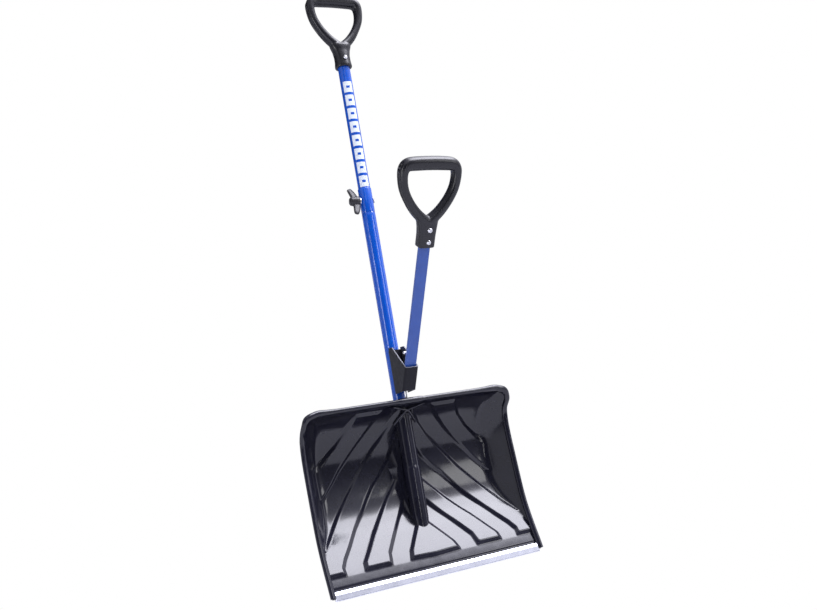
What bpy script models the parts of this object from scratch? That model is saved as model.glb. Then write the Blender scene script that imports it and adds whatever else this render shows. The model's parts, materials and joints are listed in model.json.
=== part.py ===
"""Snow shovel with a sprung second handle.

A black moulded scoop on a two-piece blue shaft. A bracket on the front of the shaft holds a pin,
and a flat assist arm with a second D-grip swings on that pin against a torsion spring. A wing knob
clamps the upper tube in the lower one.

Two frames are used. In the shaft frame, z runs up the shaft's axis, x to the right and y to the
back. In the arm frame, z runs up the arm from the pin. Lengths are in metres.
"""

import math
from collections import namedtuple

import bmesh
import bpy
from mathutils import Matrix, Vector

MM = 0.001
GAP = 0.3 * MM
SINK = 1.0 * MM
THROUGH = 60.0 * MM
SIDES = 32
BOLT_SIDES = 16
HEAD_SIDES = 20
HEX = 6
SHARP = math.radians(35)

# A screw, bolt, pin or rivet: radii of its shank, hole and head, the head's height, and its nut's
# corner radius and height
Fastener = namedtuple("Fastener", "shank_r hole_r head_r head_top_r head_height nut_r nut_height")


def fastener(*sizes):
    """A fastener from sizes in mm. One that takes no nut leaves out the last two."""
    return Fastener(*(size * MM for size in sizes + (0.0,) * (len(Fastener._fields) - len(sizes))))


CLAMP_BOLT = fastener(3.0, 3.3, 6.2, 4.4, 3.5)
PIVOT_PIN = fastener(4.0, 4.3, 6.5, 5.6, 2.65)
BRACKET_BOLT = fastener(2.5, 2.8, 4.6, 3.0, 3.1, 4.6, 4.2)
GRIP_SCREW = fastener(2.1, 2.4, 4.8, 3.2, 2.3, 4.4, 3.2)
SOCKET_SCREW = fastener(2.0, 2.4, 4.2, 2.6, 2.8)
GRIP_RIVET = fastener(2.3, 2.6, 4.6, 3.0, 2.0)
STRIP_RIVET = fastener(1.8, 2.1, 3.6, 2.4, 1.3)

SHAFT_LEAN = math.radians(21.7)
ARM_LEAN = math.radians(34.7)

# Shaft: outer radii, inner radii, and heights up the shaft
LOWER_TUBE_R = 14.0 * MM
LOWER_TUBE_BORE_R = 13.0 * MM
UPPER_TUBE_R = 12.7 * MM
UPPER_TUBE_BORE_R = 11.5 * MM
LOWER_TUBE_BOTTOM = 102.0 * MM
LOWER_TUBE_TOP = 750.0 * MM
UPPER_TUBE_BOTTOM = 640.0 * MM
CLAMP_Z = 724.0 * MM
UPPER_GRIP_Z = 1016.0 * MM

# Scoop
SHELL = 3.0 * MM
RIM_R = 4.5 * MM
CORNER_R = 12.0 * MM
CORNER_SHARE = 0.45
CORNER_STEPS = (0.0, 0.35, 0.65, 1.0)
SOCKET_R = 16.5 * MM
SOCKET_Z = (30.0 * MM, 299.0 * MM)
SOCKET_BORE_R = LOWER_TUBE_R + GAP
COLLAR_R = 19.5 * MM
COLLAR_Z = (236.0 * MM, 303.0 * MM)
WEB_HALF_WIDTHS = (14.0 * MM, 38.0 * MM)
WEB_BACK = 50.0 * MM
WEB_Z = (80.0 * MM, 270.0 * MM)
BEHIND_HALF_WIDTH = 45.0 * MM
BEHIND_FLOOR = ((160.0 * MM, -60.0 * MM), (160.0 * MM, 360.0 * MM), (-44.0 * MM, 360.0 * MM))
RECESS_HALF_WIDTH = 11.0 * MM
RECESS_SKIN = 1.2 * MM
RECESS_Z = (118.0 * MM, 232.0 * MM)
SOCKET_SCREW_Z = (140.0 * MM, 205.0 * MM)
SOCKET_SCREW_TAIL = 10.0 * MM
SOCKET_SCREW_SEAT = SOCKET_R + 1.5 * MM

# Stations of the scoop from the hood's lip to the edge, in mm. Each gives the floor's distance in
# front of the shaft axis, its height and its half width, then the wall's edge: half width,
# distance, height.
STATIONS = (
    (44.0, 301.5, 187.0, 198.0, 46.0, 304.5),
    (23.0, 293.0, 188.0, 216.0, 45.5, 298.0),
    (4.0, 278.0, 187.0, 224.0, 39.5, 281.0),
    (-13.0, 256.0, 186.0, 224.0, 23.0, 261.0),
    (-26.0, 232.0, 186.0, 224.0, 18.0, 236.0),
    (-33.0, 207.0, 186.0, 224.0, 17.8, 210.0),
    (-35.0, 181.0, 185.5, 224.0, 19.6, 184.0),
    (-32.5, 150.0, 185.5, 224.0, 22.2, 153.0),
    (-23.0, 114.0, 188.0, 224.0, 25.6, 113.0),
    (-8.0, 84.5, 195.0, 224.0, 29.0, 83.0),
    (13.0, 55.0, 207.0, 224.0, 35.0, 54.0),
    (37.0, 18.5, 218.0, 224.0, 45.8, 18.5),
    (52.6, -8.8, 221.5, 224.0, 55.0, -8.0),
)
# The seat of the wear strip, set down from the floor by the strip's own thickness
SEAT = (
    (53.8, -13.9, 221.8, 224.0, 56.5, -12.5),
    (59.9, -24.6, 222.5, 224.0, 60.0, -24.0),
)

# Wear strip: its section along and across the blade's edge, in mm, and where it starts
STRIP_START = Vector((0.0, -55.6 * MM, -14.0 * MM))
STRIP_ANGLE = math.radians(30.0)
STRIP_OUTLINE = (
    (0.0, 0.0), (10.5, 0.0), (16.0, -1.4), (16.5, -3.6), (14.4, -6.0), (-4.0, -6.0),
    (-4.0, -4.8), (13.9, -4.8), (15.2, -3.4), (14.8, -2.3), (10.4, -1.2), (0.0, -1.2),
)
STRIP_HALF_WIDTH = 219.0 * MM
STRIP_RIVET_X = (-165.0 * MM, -55.0 * MM, 55.0 * MM, 165.0 * MM)
STRIP_RIVET_ALONG = 4.0 * MM
STRIP_RIVET_ACROSS = (-2.6 * MM, -6.6 * MM)
STRIP_BACK = -6.0 * MM

# Bracket and pin, in the shaft frame: distance in front of the axis, and height
PIN_FRONT = 35.6 * MM
PIN_Z = 342.5 * MM
PIN_X = (-14.2 * MM, 14.55 * MM)
SHEET = 2.2 * MM
BRACKET_HALF_WIDTH = 14.25 * MM
BRACKET_REAR = 15.5 * MM
BRACKET_BOTTOM = 321.5 * MM
BRACKET_TOP = 413.5 * MM
BRACKET_SHOULDER = (31.6 * MM, 412.5 * MM)
WEB_FACE = 22.5 * MM
WEB_ALONG = (-8.1 * MM, 42.3 * MM)
BRACKET_OPENING = 40.0 * MM
SADDLE_Z = (325.5 * MM, 409.0 * MM)
SADDLE_FRONT = 19.2 * MM
SADDLE_BACK = 9.0 * MM
BRACKET_BOLT_Z = (331.0 * MM, 384.0 * MM)
BRACKET_BOLT_TAIL = 20.5 * MM

# Arm, in the arm frame
ARM_HALF_WIDTH = 11.5 * MM
ARM_BACK = 11.3 * MM
ARM_FRONT = 16.3 * MM
ARM_BOTTOM = 7.5 * MM
ARM_TOP = 331.0 * MM
EAR_INNER = 8.8 * MM
EAR_R = 9.0 * MM
EAR_TOP = 24.0 * MM
EAR_ANGLES = [math.radians(angle) for angle in range(-40, 200, 20)]
STOP_PAD_ALONG = (6.0 * MM, 38.0 * MM)
STOP_PAD_HALF_WIDTH = 9.0 * MM

# Torsion spring
WIRE_R = 2.8 * MM
COIL_R = 8.1 * MM
COIL_PITCH = 5.8 * MM
COIL_START = math.radians(-6.0)
COIL_END = math.radians(685.3)
LOWER_LEG = 31.0 * MM
UPPER_LEG = 62.0 * MM
HOOK_BEND = 6.0 * MM
HOOK_STEPS = 4
HOOK_END_X = -15.5 * MM
COIL_STEPS = 30
BUSH_R = 4.95 * MM
BUSH_HALF_WIDTH = 8.4 * MM

# D-grips: the loop's half outline as x, z and bar radius in mm
GRIP_LOOP = (
    (0.0, 153.0, 14.0), (26.0, 152.6, 14.0), (42.0, 149.5, 12.6), (51.0, 140.0, 9.8),
    (52.6, 125.0, 8.6), (48.5, 106.0, 8.4), (38.0, 86.0, 8.6), (23.0, 67.0, 9.2),
    (9.0, 53.0, 9.8), (0.0, 48.5, 10.2),
)
GRIP_SOCKET_LENGTH = 52.0 * MM
GRIP_BORE_DEPTH = 47.0 * MM
ROUND_SOCKET_R = 17.2 * MM
FLAT_SOCKET_HALF_WIDTH = 15.0 * MM
FLAT_SOCKET = (6.0 * MM, 25.5 * MM)
ARM_MIDDLE = (ARM_FRONT + ARM_BACK) / 2
ARM_HALF_THICKNESS = (ARM_FRONT - ARM_BACK) / 2
LOWER_GRIP_Z = 286.0 * MM
LOWER_GRIP_RAKE = 0.11
GRIP_RAKE_FROM = 45.0 * MM
GRIP_SCREW_X = 2.0 * MM
GRIP_SCREW_Z = (297.0 * MM, 320.0 * MM)
GRIP_SCREW_TAIL = 4.2 * MM
UPPER_RIVET_Z = 1034.0 * MM
HAND_Z = UPPER_GRIP_Z + 153.0 * MM

# Clamp bolt, washer and wing knob, along -x from the shaft's axis
CLAMP_BOLT_X = (-28.3 * MM, 14.3 * MM)
WASHER_X = (-14.4 * MM, -16.0 * MM)
WASHER_R = 8.0 * MM
KNOB_X = (-16.3 * MM, -36.0 * MM)
KNOB_R = (10.0 * MM, 7.6 * MM)
POCKET_END = -29.0 * MM
POCKET_R = 5.6 * MM
INSERT_X = (-16.8 * MM, -27.0 * MM)
INSERT_R = 5.1 * MM
KNOB_TURN = math.radians(15.0)
WING_HALF_THICKNESS = 2.6 * MM
# Half of the wings' outline as x and z, in mm
WING_OUTLINE = (
    (-20.3, 0.0), (-20.3, 9.0), (-26.0, 17.0), (-29.0, 25.0), (-33.0, 28.0), (-37.0, 26.5),
    (-38.5, 20.0), (-35.0, 8.0),
)


def clear_scene():
    for old in list(bpy.data.objects):
        bpy.data.objects.remove(old)


def new_collection(name):
    made = bpy.data.collections.new(name)
    bpy.context.scene.collection.children.link(made)
    return made


def new_material(name, colour, roughness, metallic):
    made = bpy.data.materials.new(name)
    made.use_nodes = True
    shader = made.node_tree.nodes["Principled BSDF"]
    shader.inputs["Base Color"].default_value = (*colour, 1.0)
    shader.inputs["Roughness"].default_value = roughness
    shader.inputs["Metallic"].default_value = metallic
    return made


def new_empty(name, location, lean, parent=None):
    made = bpy.data.objects.new(name, None)
    made.location = location
    made.rotation_euler.x = lean
    made.parent = parent
    PARTS.objects.link(made)
    return made


def place(name, mesh, material, frame):
    """A mesh as a named sub-part in a frame."""
    made = bpy.data.objects.new(name, mesh)
    made.parent = frame
    mesh.materials.clear()
    mesh.materials.append(material)
    PARTS.objects.link(made)
    return made


def helper(name, mesh, frame):
    """A mesh that shapes others and isn't a part itself."""
    made = bpy.data.objects.new(name, mesh)
    made.parent = frame
    made.hide_render = True
    made.display_type = "WIRE"
    CUTTERS.objects.link(made)
    return made


def boolean(target, other, operation="DIFFERENCE"):
    modifier = target.modifiers.new(f"{operation.lower()}_{other.name}", "BOOLEAN")
    modifier.operation = operation
    modifier.object = other
    modifier.solver = "EXACT"


def mesh_of(name, build, closed=True):
    """A mesh made by a function that fills a bmesh. A closed one gets its faces turned outwards."""
    shape = bmesh.new()
    build(shape)
    if closed:
        bmesh.ops.recalc_face_normals(shape, faces=shape.faces)
    mesh = bpy.data.meshes.new(name)
    shape.to_mesh(mesh)
    shape.free()
    return mesh


def box_mesh(name, low, high):
    low, high = Vector(low), Vector(high)

    def build(shape):
        bmesh.ops.create_cube(shape, size=1.0)
        for vert in shape.verts:
            vert.co = Vector(
                (low[i] + (vert.co[i] + 0.5) * (high[i] - low[i]) for i in range(3))
            )

    return mesh_of(name, build)


def rod_mesh(name, start, end, radius, end_radius=None, sides=SIDES, turn=0.0):
    """A round or many-sided bar, or a cone, from one point to another."""
    start, end = Vector(start), Vector(end)
    axis = end - start
    spin = axis.to_track_quat("Z", "Y").to_matrix().to_4x4()
    where = Matrix.Translation((start + end) / 2) @ spin @ Matrix.Rotation(turn, 4, "Z")

    def build(shape):
        bmesh.ops.create_cone(
            shape,
            cap_ends=True,
            segments=sides,
            radius1=radius,
            radius2=radius if end_radius is None else end_radius,
            depth=axis.length,
            matrix=where,
        )

    return mesh_of(name, build)


def outline_mesh(name, outline, half_width):
    """An outline of (y, z) points, extruded along x to both sides."""

    def build(shape):
        verts = [shape.verts.new((-half_width, y, z)) for y, z in outline]
        face = shape.faces.new(verts)
        made = bmesh.ops.extrude_face_region(shape, geom=[face])
        moved = [item for item in made["geom"] if isinstance(item, bmesh.types.BMVert)]
        bmesh.ops.translate(shape, verts=moved, vec=(2 * half_width, 0.0, 0.0))

    return mesh_of(name, build)


def turned(name, profile, material, frame):
    """A tube or ring: a closed profile of (radius, height) turned about the frame's z."""

    def build(shape):
        verts = [shape.verts.new((r, 0.0, z)) for r, z in profile]
        for first, second in zip(verts, verts[1:] + verts[:1]):
            shape.edges.new((first, second))

    mesh = mesh_of(name, build)
    made = place(name, mesh, material, frame)
    screw = made.modifiers.new("turn", "SCREW")
    screw.steps = SIDES
    screw.render_steps = SIDES
    screw.use_merge_vertices = True
    screw.merge_threshold = 0.00001
    return made


def add_headed(name, kind, material, frame, tail, seat):
    """A shank from its tail to its seat, and a tapered head beyond the seat."""
    tail, seat = Vector(tail), Vector(seat)
    out = (seat - tail).normalized()
    shank = rod_mesh("shank", tail, seat + out * SINK, kind.shank_r, sides=BOLT_SIDES)
    made = place(name, shank, material, frame)
    add_head(made, f"{name}_head", kind, frame, seat, out)
    return made


def add_head(piece, name, kind, frame, seat, out):
    head = rod_mesh(
        "head", seat, seat + out * kind.head_height, kind.head_r, kind.head_top_r, HEAD_SIDES
    )
    boolean(piece, helper(name, head, frame), "UNION")


def add_nut(name, kind, frame, seat, hole):
    """A nut that sits on a seat and faces +y."""
    top = Vector(seat) + Vector((0.0, kind.nut_height, 0.0))
    nut = place(name, rod_mesh("nut", seat, top, kind.nut_r, sides=HEX), STEEL, frame)
    boolean(nut, hole)


def hole_along_y(name, kind, frame, x, z, low=-THROUGH, high=THROUGH):
    hole = rod_mesh("hole", (x, low, z), (x, high, z), kind.hole_r, sides=BOLT_SIDES)
    return helper(name, hole, frame)


def wire_mesh(name, points, radii, cyclic=False, resolution=2):
    """A bar along points, with a radius at each, as a closed mesh."""
    curve = bpy.data.curves.new(name, "CURVE")
    curve.dimensions = "3D"
    curve.bevel_depth = 1.0
    curve.bevel_resolution = resolution
    curve.use_fill_caps = True
    spline = curve.splines.new("POLY")
    spline.points.add(len(points) - 1)
    spline.use_cyclic_u = cyclic
    for point, place_at, radius in zip(spline.points, points, radii):
        point.co = (*place_at, 1.0)
        point.radius = radius
    guide = bpy.data.objects.new(name, curve)
    CUTTERS.objects.link(guide)
    bpy.context.view_layer.update()
    graph = bpy.context.evaluated_depsgraph_get()
    mesh = bpy.data.meshes.new_from_object(guide.evaluated_get(graph))
    bpy.data.objects.remove(guide)
    shape = bmesh.new()
    shape.from_mesh(mesh)
    bmesh.ops.remove_doubles(shape, verts=shape.verts, dist=0.00001)
    bmesh.ops.recalc_face_normals(shape, faces=shape.faces)
    shape.to_mesh(mesh)
    shape.free()
    return mesh


def smooth(points, steps, cyclic=False):
    """Points of a Catmull-Rom curve through the given points, with steps from one to the next."""
    last = len(points) - 1
    made = []

    def at(index):
        if cyclic:
            return Vector(points[index % len(points)])
        return Vector(points[min(max(index, 0), last)])

    for index in range(len(points) if cyclic else last):
        a, b, c, d = (at(index + k) for k in (-1, 0, 1, 2))
        for step in range(steps):
            t = step / steps
            made.append(
                0.5 * (2 * b + (c - a) * t + (2 * a - 5 * b + 4 * c - d) * t**2
                       + (3 * b - a - 3 * c + d) * t**3)
            )
    if not cyclic:
        made.append(Vector(points[last]))
    return made


def scoop_stations():
    """The smoothed stations, in metres, and the seat's own stations after them."""
    rows = smooth([Vector(row) for row in STATIONS], 2)
    rows += [Vector(row) for row in SEAT]
    return [row * MM for row in rows]


def scoop_section(row):
    """Half of the scoop's inner surface at one station, from the middle to the wall's edge."""
    floor = Vector((0.0, -row[0], row[1]))
    corner = floor + Vector((row[2], 0.0, 0.0))
    edge = Vector((row[3], -row[4], row[5]))
    up = (edge - corner).normalized()
    radius = min(CORNER_R, CORNER_SHARE * (edge - corner).length)
    start = corner - Vector((radius, 0.0, 0.0))
    end = corner + up * radius
    bend = [
        (1 - t) ** 2 * start + 2 * t * (1 - t) * corner + t**2 * end
        for t in CORNER_STEPS
    ]
    return [floor] + bend + [edge]


def scoop_shell_mesh():
    rows = [scoop_section(row) for row in scoop_stations()]

    def build(shape):
        grid = [[shape.verts.new(point) for point in row] for row in rows]
        for upper, lower in zip(grid, grid[1:]):
            for k in range(len(upper) - 1):
                shape.faces.new((upper[k], lower[k], lower[k + 1], upper[k + 1]))

    return mesh_of("scoop_shell", build, closed=False)


def scoop_rim_mesh():
    """The rolled rim: along one wall's edge, across the lip and down the other wall."""
    right = [Vector((row[3], -row[4], row[5])) for row in scoop_stations()]
    left = [Vector((-p.x, p.y, p.z)) for p in reversed(right)]
    return wire_mesh("scoop_rim", left + right, [RIM_R] * (2 * len(right)))


def behind_floor_mesh():
    """All that lies behind the middle of the scoop's floor."""
    floor = [(-row[0], row[1]) for row in scoop_stations()]
    shifted = []
    for index, here in enumerate(floor):
        before = Vector(floor[max(index - 1, 0)])
        after = Vector(floor[min(index + 1, len(floor) - 1)])
        along = (after - before).normalized()
        shifted.append(Vector(here) + SHELL / 2 * Vector((-along.y, along.x)))
    return outline_mesh("behind_floor", shifted + list(BEHIND_FLOOR), BEHIND_HALF_WIDTH)


def web_mesh():
    """The web between the socket and the floor, which widens towards the floor."""
    front, back = WEB_HALF_WIDTHS
    outline = ((-front, 0.0), (front, 0.0), (back, WEB_BACK), (-back, WEB_BACK))

    def build(shape):
        verts = [shape.verts.new((x, y, WEB_Z[0])) for x, y in outline]
        face = shape.faces.new(verts)
        made = bmesh.ops.extrude_face_region(shape, geom=[face])
        moved = [item for item in made["geom"] if isinstance(item, bmesh.types.BMVert)]
        bmesh.ops.translate(shape, verts=moved, vec=(0.0, 0.0, WEB_Z[1] - WEB_Z[0]))

    return mesh_of("web", build)


def add_scoop():
    name = "scoop"
    blade = place(name, scoop_shell_mesh(), BLACK_PLASTIC, SHAFT)
    mirror = blade.modifiers.new("both_halves", "MIRROR")
    mirror.merge_threshold = 0.0001
    solid = blade.modifiers.new("thickness", "SOLIDIFY")
    solid.thickness = SHELL
    solid.offset = -1.0
    solid.use_even_offset = True
    rim = helper("scoop_rim", scoop_rim_mesh(), SHAFT)
    boolean(blade, rim, "UNION")

    half_side = math.pi / SIDES
    ends = (0, 0, SOCKET_Z[0]), (0, 0, SOCKET_Z[1])
    socket_rod = rod_mesh("socket", *ends, SOCKET_R, turn=half_side)
    collar_rod = rod_mesh("collar", (0, 0, COLLAR_Z[0]), (0, 0, COLLAR_Z[1]), COLLAR_R)
    socket = helper("socket", socket_rod, SHAFT)
    behind = helper("behind_floor", behind_floor_mesh(), SHAFT)
    boolean(socket, helper("web", web_mesh(), SHAFT), "UNION")
    boolean(socket, behind)
    boolean(blade, socket, "UNION")
    collar = helper("collar", collar_rod, SHAFT)
    boolean(collar, behind, "INTERSECT")
    boolean(blade, collar, "UNION")

    bore_bottom = LOWER_TUBE_BOTTOM - GAP
    bore = rod_mesh("bore", (0, 0, bore_bottom), (0, 0, COLLAR_Z[1] + THROUGH), SOCKET_BORE_R)
    boolean(blade, helper("bore", bore, SHAFT))
    recess = box_mesh(
        "recess",
        (-RECESS_HALF_WIDTH, SOCKET_R + RECESS_SKIN, RECESS_Z[0]),
        (RECESS_HALF_WIDTH, WEB_BACK + THROUGH, RECESS_Z[1]),
    )
    boolean(blade, helper("recess", recess, SHAFT))
    for index, height in enumerate(SOCKET_SCREW_Z, 1):
        name = f"socket_screw_{index}"
        low, high = SOCKET_SCREW_TAIL - SINK, SOCKET_SCREW_SEAT + SINK
        cutter = hole_along_y(f"{name}_hole", SOCKET_SCREW, SHAFT, 0, height, low, high)
        boolean(blade, cutter)
        boolean(LOWER_TUBE, cutter)
        tail, seat = (0, SOCKET_SCREW_TAIL, height), (0, SOCKET_SCREW_SEAT, height)
        add_headed(name, SOCKET_SCREW, STEEL, SHAFT, tail, seat)
    for index, x in enumerate(STRIP_RIVET_X, 1):
        boolean(blade, strip_rivet_hole(f"blade_rivet_hole_{index}", x))


def strip_point(along, across, x=0.0):
    """A point given along and across the wear strip's face."""
    down = Vector((0.0, -math.sin(STRIP_ANGLE), -math.cos(STRIP_ANGLE)))
    up = Vector((0.0, -math.cos(STRIP_ANGLE), math.sin(STRIP_ANGLE)))
    return STRIP_START + down * along + up * across + Vector((x, 0.0, 0.0))


def strip_rivet_hole(name, x):
    start = strip_point(STRIP_RIVET_ALONG, STRIP_RIVET_ACROSS[0] + GAP, x)
    end = strip_point(STRIP_RIVET_ALONG, STRIP_RIVET_ACROSS[1], x)
    hole = rod_mesh("hole", start, end, STRIP_RIVET.hole_r, sides=BOLT_SIDES)
    return helper(name, hole, SHAFT)


def add_wear_strip():
    outline = [strip_point(a * MM, c * MM) for a, c in STRIP_OUTLINE]
    mesh = outline_mesh("wear_strip", [(p.y, p.z) for p in outline], STRIP_HALF_WIDTH)
    strip = place("wear_strip", mesh, ALUMINIUM, SHAFT)
    for index, x in enumerate(STRIP_RIVET_X, 1):
        boolean(strip, strip_rivet_hole(f"strip_rivet_hole_{index}", x))
        tail = strip_point(STRIP_RIVET_ALONG, STRIP_RIVET_ACROSS[0], x)
        seat = strip_point(STRIP_RIVET_ALONG, STRIP_BACK - GAP, x)
        add_headed(f"strip_rivet_{index}", STRIP_RIVET, ALUMINIUM, SHAFT, tail, seat)


def tube_profile(outer, inner, bottom, top):
    return ((outer, top), (outer, bottom), (inner, bottom), (inner, top))


def add_tubes():
    lower = turned(
        "lower_tube",
        tube_profile(LOWER_TUBE_R, LOWER_TUBE_BORE_R, LOWER_TUBE_BOTTOM, LOWER_TUBE_TOP),
        BLUE_PAINT,
        SHAFT,
    )
    upper_top = UPPER_GRIP_Z + GRIP_BORE_DEPTH - SINK
    upper = turned(
        "upper_tube",
        tube_profile(UPPER_TUBE_R, UPPER_TUBE_BORE_R, UPPER_TUBE_BOTTOM, upper_top),
        BLUE_PAINT,
        SHAFT,
    )
    cutter = clamp_hole("clamp_hole")
    boolean(lower, cutter)
    boolean(upper, cutter)
    return lower, upper


def clamp_hole(name):
    hole = rod_mesh("hole", (-THROUGH, 0, 0), (THROUGH, 0, 0), CLAMP_BOLT.hole_r, sides=HEAD_SIDES)
    return helper(name, hole, CLAMP)


def add_clamp():
    tail, seat = ((x, 0, 0) for x in CLAMP_BOLT_X)
    add_headed("clamp_bolt", CLAMP_BOLT, STEEL, CLAMP, tail, seat)

    washer = rod_mesh("washer", (WASHER_X[0], 0, 0), (WASHER_X[1], 0, 0), WASHER_R)
    ring = place("clamp_washer", washer, STEEL, CLAMP)
    boolean(ring, clamp_hole("washer_hole"))

    hub = rod_mesh("hub", (KNOB_X[0], 0, 0), (KNOB_X[1], 0, 0), *KNOB_R)
    knob = place("wing_knob", hub, BLACK_PLASTIC, KNOB)
    boolean(knob, helper("knob_wings", knob_wings_mesh(), KNOB), "UNION")
    pocket = rod_mesh("pocket", (0, 0, 0), (POCKET_END, 0, 0), POCKET_R, sides=HEX)
    boolean(knob, helper("knob_pocket", pocket, KNOB))
    nut = rod_mesh("nut", (INSERT_X[0], 0, 0), (INSERT_X[1], 0, 0), INSERT_R, sides=HEX)
    insert = place("wing_knob_insert", nut, BRASS, KNOB)
    boolean(insert, clamp_hole("insert_hole"))


def knob_wings_mesh():
    """Two wings, swept a little outwards from the hub."""
    outline = WING_OUTLINE + tuple((x, -z) for x, z in reversed(WING_OUTLINE[1:]))

    def build(shape):
        verts = [shape.verts.new((x * MM, -WING_HALF_THICKNESS, z * MM)) for x, z in outline]
        face = shape.faces.new(verts)
        made = bmesh.ops.extrude_face_region(shape, geom=[face])
        moved = [item for item in made["geom"] if isinstance(item, bmesh.types.BMVert)]
        bmesh.ops.translate(shape, verts=moved, vec=(0.0, 2 * WING_HALF_THICKNESS, 0.0))
        bmesh.ops.rotate(
            shape, verts=shape.verts, cent=(0, 0, 0), matrix=Matrix.Rotation(KNOB_TURN, 3, "X")
        )

    return mesh_of("knob_wings", build)


def arm_to_shaft(front, up):
    """The shaft frame's y and z of a point in front of the pin and up the arm."""
    y = -PIN_FRONT - front * math.cos(ARM_LEAN) - up * math.sin(ARM_LEAN)
    z = PIN_Z - front * math.sin(ARM_LEAN) + up * math.cos(ARM_LEAN)
    return y, z


def bracket_outline(web_face, spread):
    """The side of the bracket as (y, z), with its open sides moved out by spread."""
    return [
        (-BRACKET_REAR + spread, BRACKET_BOTTOM - spread),
        arm_to_shaft(web_face, WEB_ALONG[0] - spread),
        arm_to_shaft(web_face, WEB_ALONG[1] + spread),
        (-BRACKET_SHOULDER[0], BRACKET_SHOULDER[1] + spread),
        (-BRACKET_REAR + spread, BRACKET_TOP + spread),
    ]


def add_bracket():
    outer = outline_mesh("bracket", bracket_outline(WEB_FACE, 0.0), BRACKET_HALF_WIDTH)
    channel = place("bracket", outer, BLACK_STEEL, SHAFT)
    inner = outline_mesh(
        "bracket_inside",
        bracket_outline(WEB_FACE - SHEET, BRACKET_OPENING),
        BRACKET_HALF_WIDTH - SHEET,
    )
    boolean(channel, helper("bracket_inside", inner, SHAFT))
    boolean(channel, pin_hole("bracket_pin_hole"))

    half = BRACKET_HALF_WIDTH - SHEET - GAP
    low, high = (-half, -SADDLE_FRONT, SADDLE_Z[0]), (half, -SADDLE_BACK, SADDLE_Z[1])
    saddle = place("bracket_saddle", box_mesh("saddle", low, high), BLACK_STEEL, SHAFT)
    seat = rod_mesh(
        "seat",
        (0, 0, SADDLE_Z[0] - SINK),
        (0, 0, SADDLE_Z[1] + SINK),
        LOWER_TUBE_R + GAP,
    )
    boolean(saddle, helper("saddle_seat", seat, SHAFT))
    for index, height in enumerate(BRACKET_BOLT_Z, 1):
        name = f"bracket_bolt_{index}"
        cutter = hole_along_y(f"{name}_hole", BRACKET_BOLT, SHAFT, 0, height)
        boolean(saddle, cutter)
        boolean(LOWER_TUBE, cutter)
        tail, seat = (0, BRACKET_BOLT_TAIL, height), (0, -SADDLE_FRONT - GAP, height)
        add_headed(name, BRACKET_BOLT, STEEL, SHAFT, tail, seat)
        nut_seat = (0, LOWER_TUBE_R + GAP, height)
        add_nut(f"bracket_nut_{index}", BRACKET_BOLT, SHAFT, nut_seat, cutter)


def pin_hole(name):
    hole = rod_mesh("hole", (-THROUGH, 0, 0), (THROUGH, 0, 0), PIVOT_PIN.hole_r, sides=HEAD_SIDES)
    return helper(name, hole, STOP)


def add_pivot():
    tail, seat = ((x, -PIN_FRONT, PIN_Z) for x in PIN_X)
    add_headed("pivot_pin", PIVOT_PIN, STEEL, SHAFT, tail, seat)
    ends = ((x, 0, 0) for x in (-BUSH_HALF_WIDTH, BUSH_HALF_WIDTH))
    bush = place("spring_bush", rod_mesh("bush", *ends, BUSH_R, sides=24), BLACK_PLASTIC, STOP)
    boolean(bush, pin_hole("bush_hole"))
    pad = box_mesh(
        "stop_pad",
        (-STOP_PAD_HALF_WIDTH, -(WEB_FACE - SHEET - GAP), STOP_PAD_ALONG[0]),
        (STOP_PAD_HALF_WIDTH, -(ARM_FRONT + GAP), STOP_PAD_ALONG[1]),
    )
    place("stop_pad", pad, RUBBER, STOP)


def add_arm():
    bar = box_mesh(
        "arm", (-ARM_HALF_WIDTH, -ARM_FRONT, ARM_BOTTOM), (ARM_HALF_WIDTH, -ARM_BACK, ARM_TOP)
    )
    arm = place("arm", bar, BLUE_PAINT, ARM)
    ear = [(EAR_R * math.sin(angle), -EAR_R * math.cos(angle)) for angle in EAR_ANGLES]
    root = -ARM_FRONT + SINK
    outline = [(root, ARM_BOTTOM + SINK)] + ear + [(root, EAR_TOP)]
    ears = helper("arm_ears", outline_mesh("arm_ears", outline, ARM_HALF_WIDTH), ARM)
    gap_box = box_mesh(
        "gap", (-EAR_INNER, -ARM_BACK, -THROUGH), (EAR_INNER, THROUGH, THROUGH)
    )
    boolean(ears, helper("ear_gap", gap_box, ARM))
    boolean(arm, ears, "UNION")
    hole = rod_mesh("hole", (-THROUGH, 0, 0), (THROUGH, 0, 0), PIVOT_PIN.hole_r, sides=HEAD_SIDES)
    boolean(arm, helper("arm_pin_hole", hole, ARM))
    for index, height in enumerate(GRIP_SCREW_Z, 1):
        name = f"grip_screw_hole_{index}"
        boolean(arm, hole_along_y(name, GRIP_SCREW, ARM, GRIP_SCREW_X, height))


def coil_point(angle):
    """A point of the coil, in the shaft frame, at an angle from the front and over the top."""
    share = (angle - COIL_START) / (COIL_END - COIL_START)
    x = (share - 0.5) * COIL_PITCH * (COIL_END - COIL_START) / math.tau
    y = -PIN_FRONT - COIL_R * math.cos(angle)
    return Vector((x, y, PIN_Z + COIL_R * math.sin(angle)))


def coil_heading(angle):
    return Vector((0.0, math.sin(angle), math.cos(angle)))


def spring_points():
    first, last = coil_point(COIL_START), coil_point(COIL_END)
    points = [first - coil_heading(COIL_START) * LOWER_LEG]
    for step in range(COIL_STEPS + 1):
        points.append(coil_point(COIL_START + (COIL_END - COIL_START) * step / COIL_STEPS))
    up = coil_heading(COIL_END)
    side = Vector((-1.0, 0.0, 0.0))
    bend = last + up * UPPER_LEG + side * HOOK_BEND
    for step in range(HOOK_STEPS + 1):
        angle = math.pi / 2 * step / HOOK_STEPS
        points.append(bend + HOOK_BEND * (up * math.sin(angle) - side * math.cos(angle)))
    end = bend + up * HOOK_BEND
    end.x = HOOK_END_X
    return points + [end]


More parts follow.
